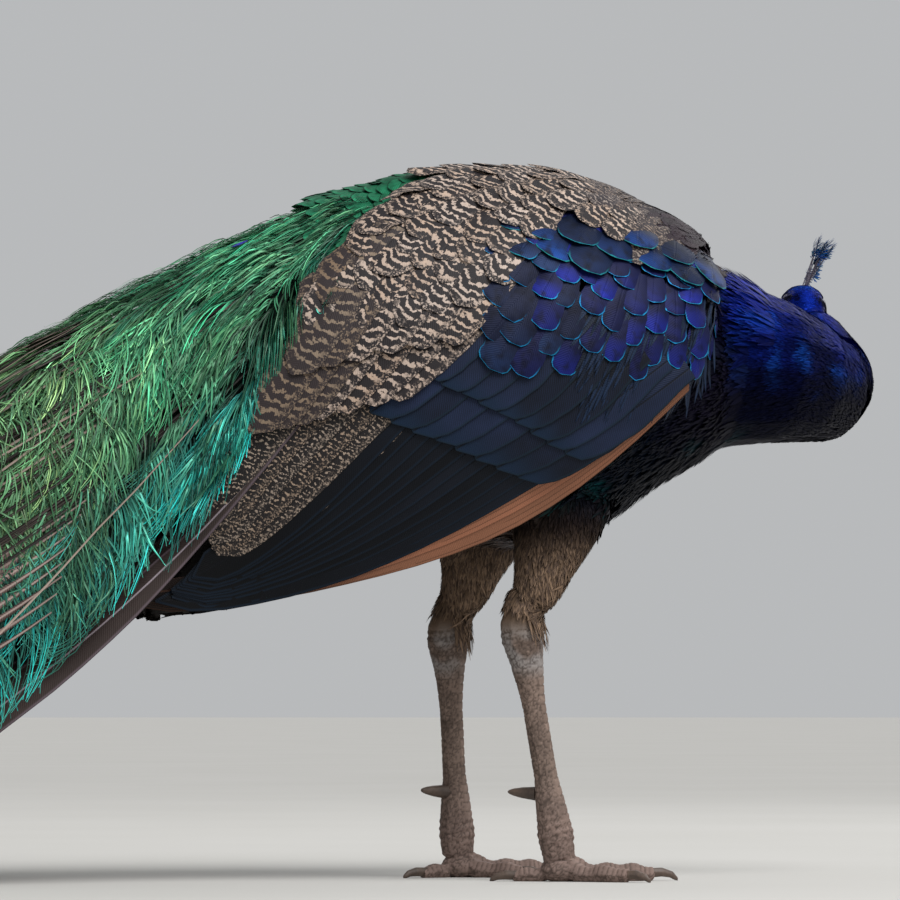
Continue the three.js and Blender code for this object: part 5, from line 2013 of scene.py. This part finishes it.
def eyespot_material():
    """Eyespot vane: rings of structural colour, from blue-black through turquoise and bronze to green."""
    material, node, shader = surface_material(
        "Eyespot vanes, ringed structural colour", roughness=0.36, metallic=0.45, ior=1.54
    )
    across, along = vane_places(node)[1:3]
    y = node("SUBTRACT", along, 19.0)
    ring = node("SQRT", node("ADD", node("POWER", across, 2.0), node("POWER", y, 2.0)))
    ridge, _ = barb_relief(node, shader, across, along)
    ring = node("MULTIPLY_ADD", ridge, 0.25, ring)
    body = node("mix", node("ramp", ring, 4.2, 5.2), four(tone("14125A")), four(tone("1193A8")))
    body = node("mix", node("ramp", ring, 7.6, 8.8), body, four(tone("9A5A22")))
    body = node("mix", node("ramp", ring, 12.2, 13.4), body, four(tone("A6A63A")))
    body = node("mix", node("ramp", ring, 14.2, 16.5), body, four(tone("1F8A4A")))
    lead(body, shader)
    return material


# ---- stage ----


CAMERA_AZIMUTH = 8  # degrees from the bird's right side, towards its tail
CAMERA_DISTANCE = 4.0
CAMERA_HEIGHT = 0.12
FRAMED_WIDTH = 0.585  # metres across the view at the bird


class PEACOCK_OT_stage(bpy.types.Operator):
    """Pale floor, soft light and the camera"""

    bl_idname = "peacock.stage"
    bl_label = "Stage"

    def execute(self, context):
        scene = context.scene
        shape = bmesh.new()
        bmesh.ops.create_circle(shape, cap_ends=True, radius=30, segments=64)
        mesh = bpy.data.meshes.new("floor")
        shape.to_mesh(mesh)
        shape.free()
        floor = linked("floor", mesh)
        material, node, shader = surface_material("Painted floor, matt pale grey", roughness=0.85)
        place = node("place")
        pale = node("mix", texture(node, place, 3.0, 4.0), four(tone("BDBBB6")), four(tone("C6C4C0")))
        lead(pale, shader)
        mesh.materials.append(material)

        world = bpy.data.worlds.new("studio")
        world.use_nodes = True
        back = world.node_tree.nodes["Background"]
        back.inputs["Color"].default_value = four(tone("E4E6E8"))
        back.inputs["Strength"].default_value = 0.62
        scene.world = world

        target = Vector(placed([-45.5, -30, 279.5]))
        sun = bpy.data.lights.new("sky", "SUN")
        sun.energy, sun.angle = 1.9, math.radians(35)
        lamp = linked("sky", sun)
        lamp.rotation_euler = Vector((-0.35, 0.75, -1.25)).to_track_quat("-Z", "Y").to_euler()
        for name, spot, size, power in (
            ("key", (1.2, -1.5, 1.6), 1.2, 22.0),
            ("rim", (1.6, 1.6, 1.5), 1.4, 13.0),
        ):
            light = bpy.data.lights.new(name, "AREA")
            light.energy, light.size = power, size
            lamp = linked(name, light)
            lamp.location = target + Vector(spot)
            lamp.rotation_euler = (target - lamp.location).to_track_quat("-Z", "Y").to_euler()

        lens = bpy.data.cameras.new("camera")
        camera = linked("camera", lens)
        azimuth = math.radians(CAMERA_AZIMUTH)
        camera.location = target + Vector((-math.sin(azimuth), -math.cos(azimuth), 0)) * CAMERA_DISTANCE
        camera.location.z = CAMERA_HEIGHT
        aim = target - camera.location
        camera.rotation_euler = aim.to_track_quat("-Z", "Y").to_euler()
        lens.sensor_width = 36
        lens.lens = lens.sensor_width * aim.length / FRAMED_WIDTH
        lens.clip_end = 200
        scene.camera = camera
        scene.view_settings.view_transform = "Standard"
        return {"FINISHED"}


# ---- panel and registration ----

OPERATORS = (
    PEACOCK_OT_stage,
    PEACOCK_OT_skin,
    PEACOCK_OT_eyes,
    PEACOCK_OT_bill,
    PEACOCK_OT_claws,
    PEACOCK_OT_coat,
    PEACOCK_OT_crest,
    PEACOCK_OT_flight,
    PEACOCK_OT_wing_coat,
    PEACOCK_OT_tail,
    PEACOCK_OT_train,
)


class PEACOCK_PT_panel(bpy.types.Panel):
    """Lists the peacock's pieces, sizes and colours"""

    bl_idname = "PEACOCK_PT_panel"
    bl_label = "Peacock"
    bl_space_type = "VIEW_3D"
    bl_region_type = "UI"
    bl_category = "Peacock"

    def draw(self, context):
        for operator in OPERATORS:
            self.layout.operator(operator.bl_idname)
        for group in (context.scene.peacock_sizes, context.scene.peacock_colours):
            for name in group.__annotations__:
                self.layout.prop(group, name)


CLASSES = (PeacockSizes, PeacockColours, *OPERATORS, PEACOCK_PT_panel)


def register():
    for item in CLASSES:
        bpy.utils.register_class(item)
    bpy.types.Scene.peacock_sizes = bpy.props.PointerProperty(type=PeacockSizes)
    bpy.types.Scene.peacock_colours = bpy.props.PointerProperty(type=PeacockColours)


def unregister():
    del bpy.types.Scene.peacock_colours
    del bpy.types.Scene.peacock_sizes
    for item in reversed(CLASSES):
        bpy.utils.unregister_class(item)


def main():
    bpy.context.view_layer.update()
    register()
    for operator in OPERATORS:
        _, name = operator.bl_idname.split(".")
        getattr(bpy.ops.peacock, name)()


if __name__ == "__main__":
    main()
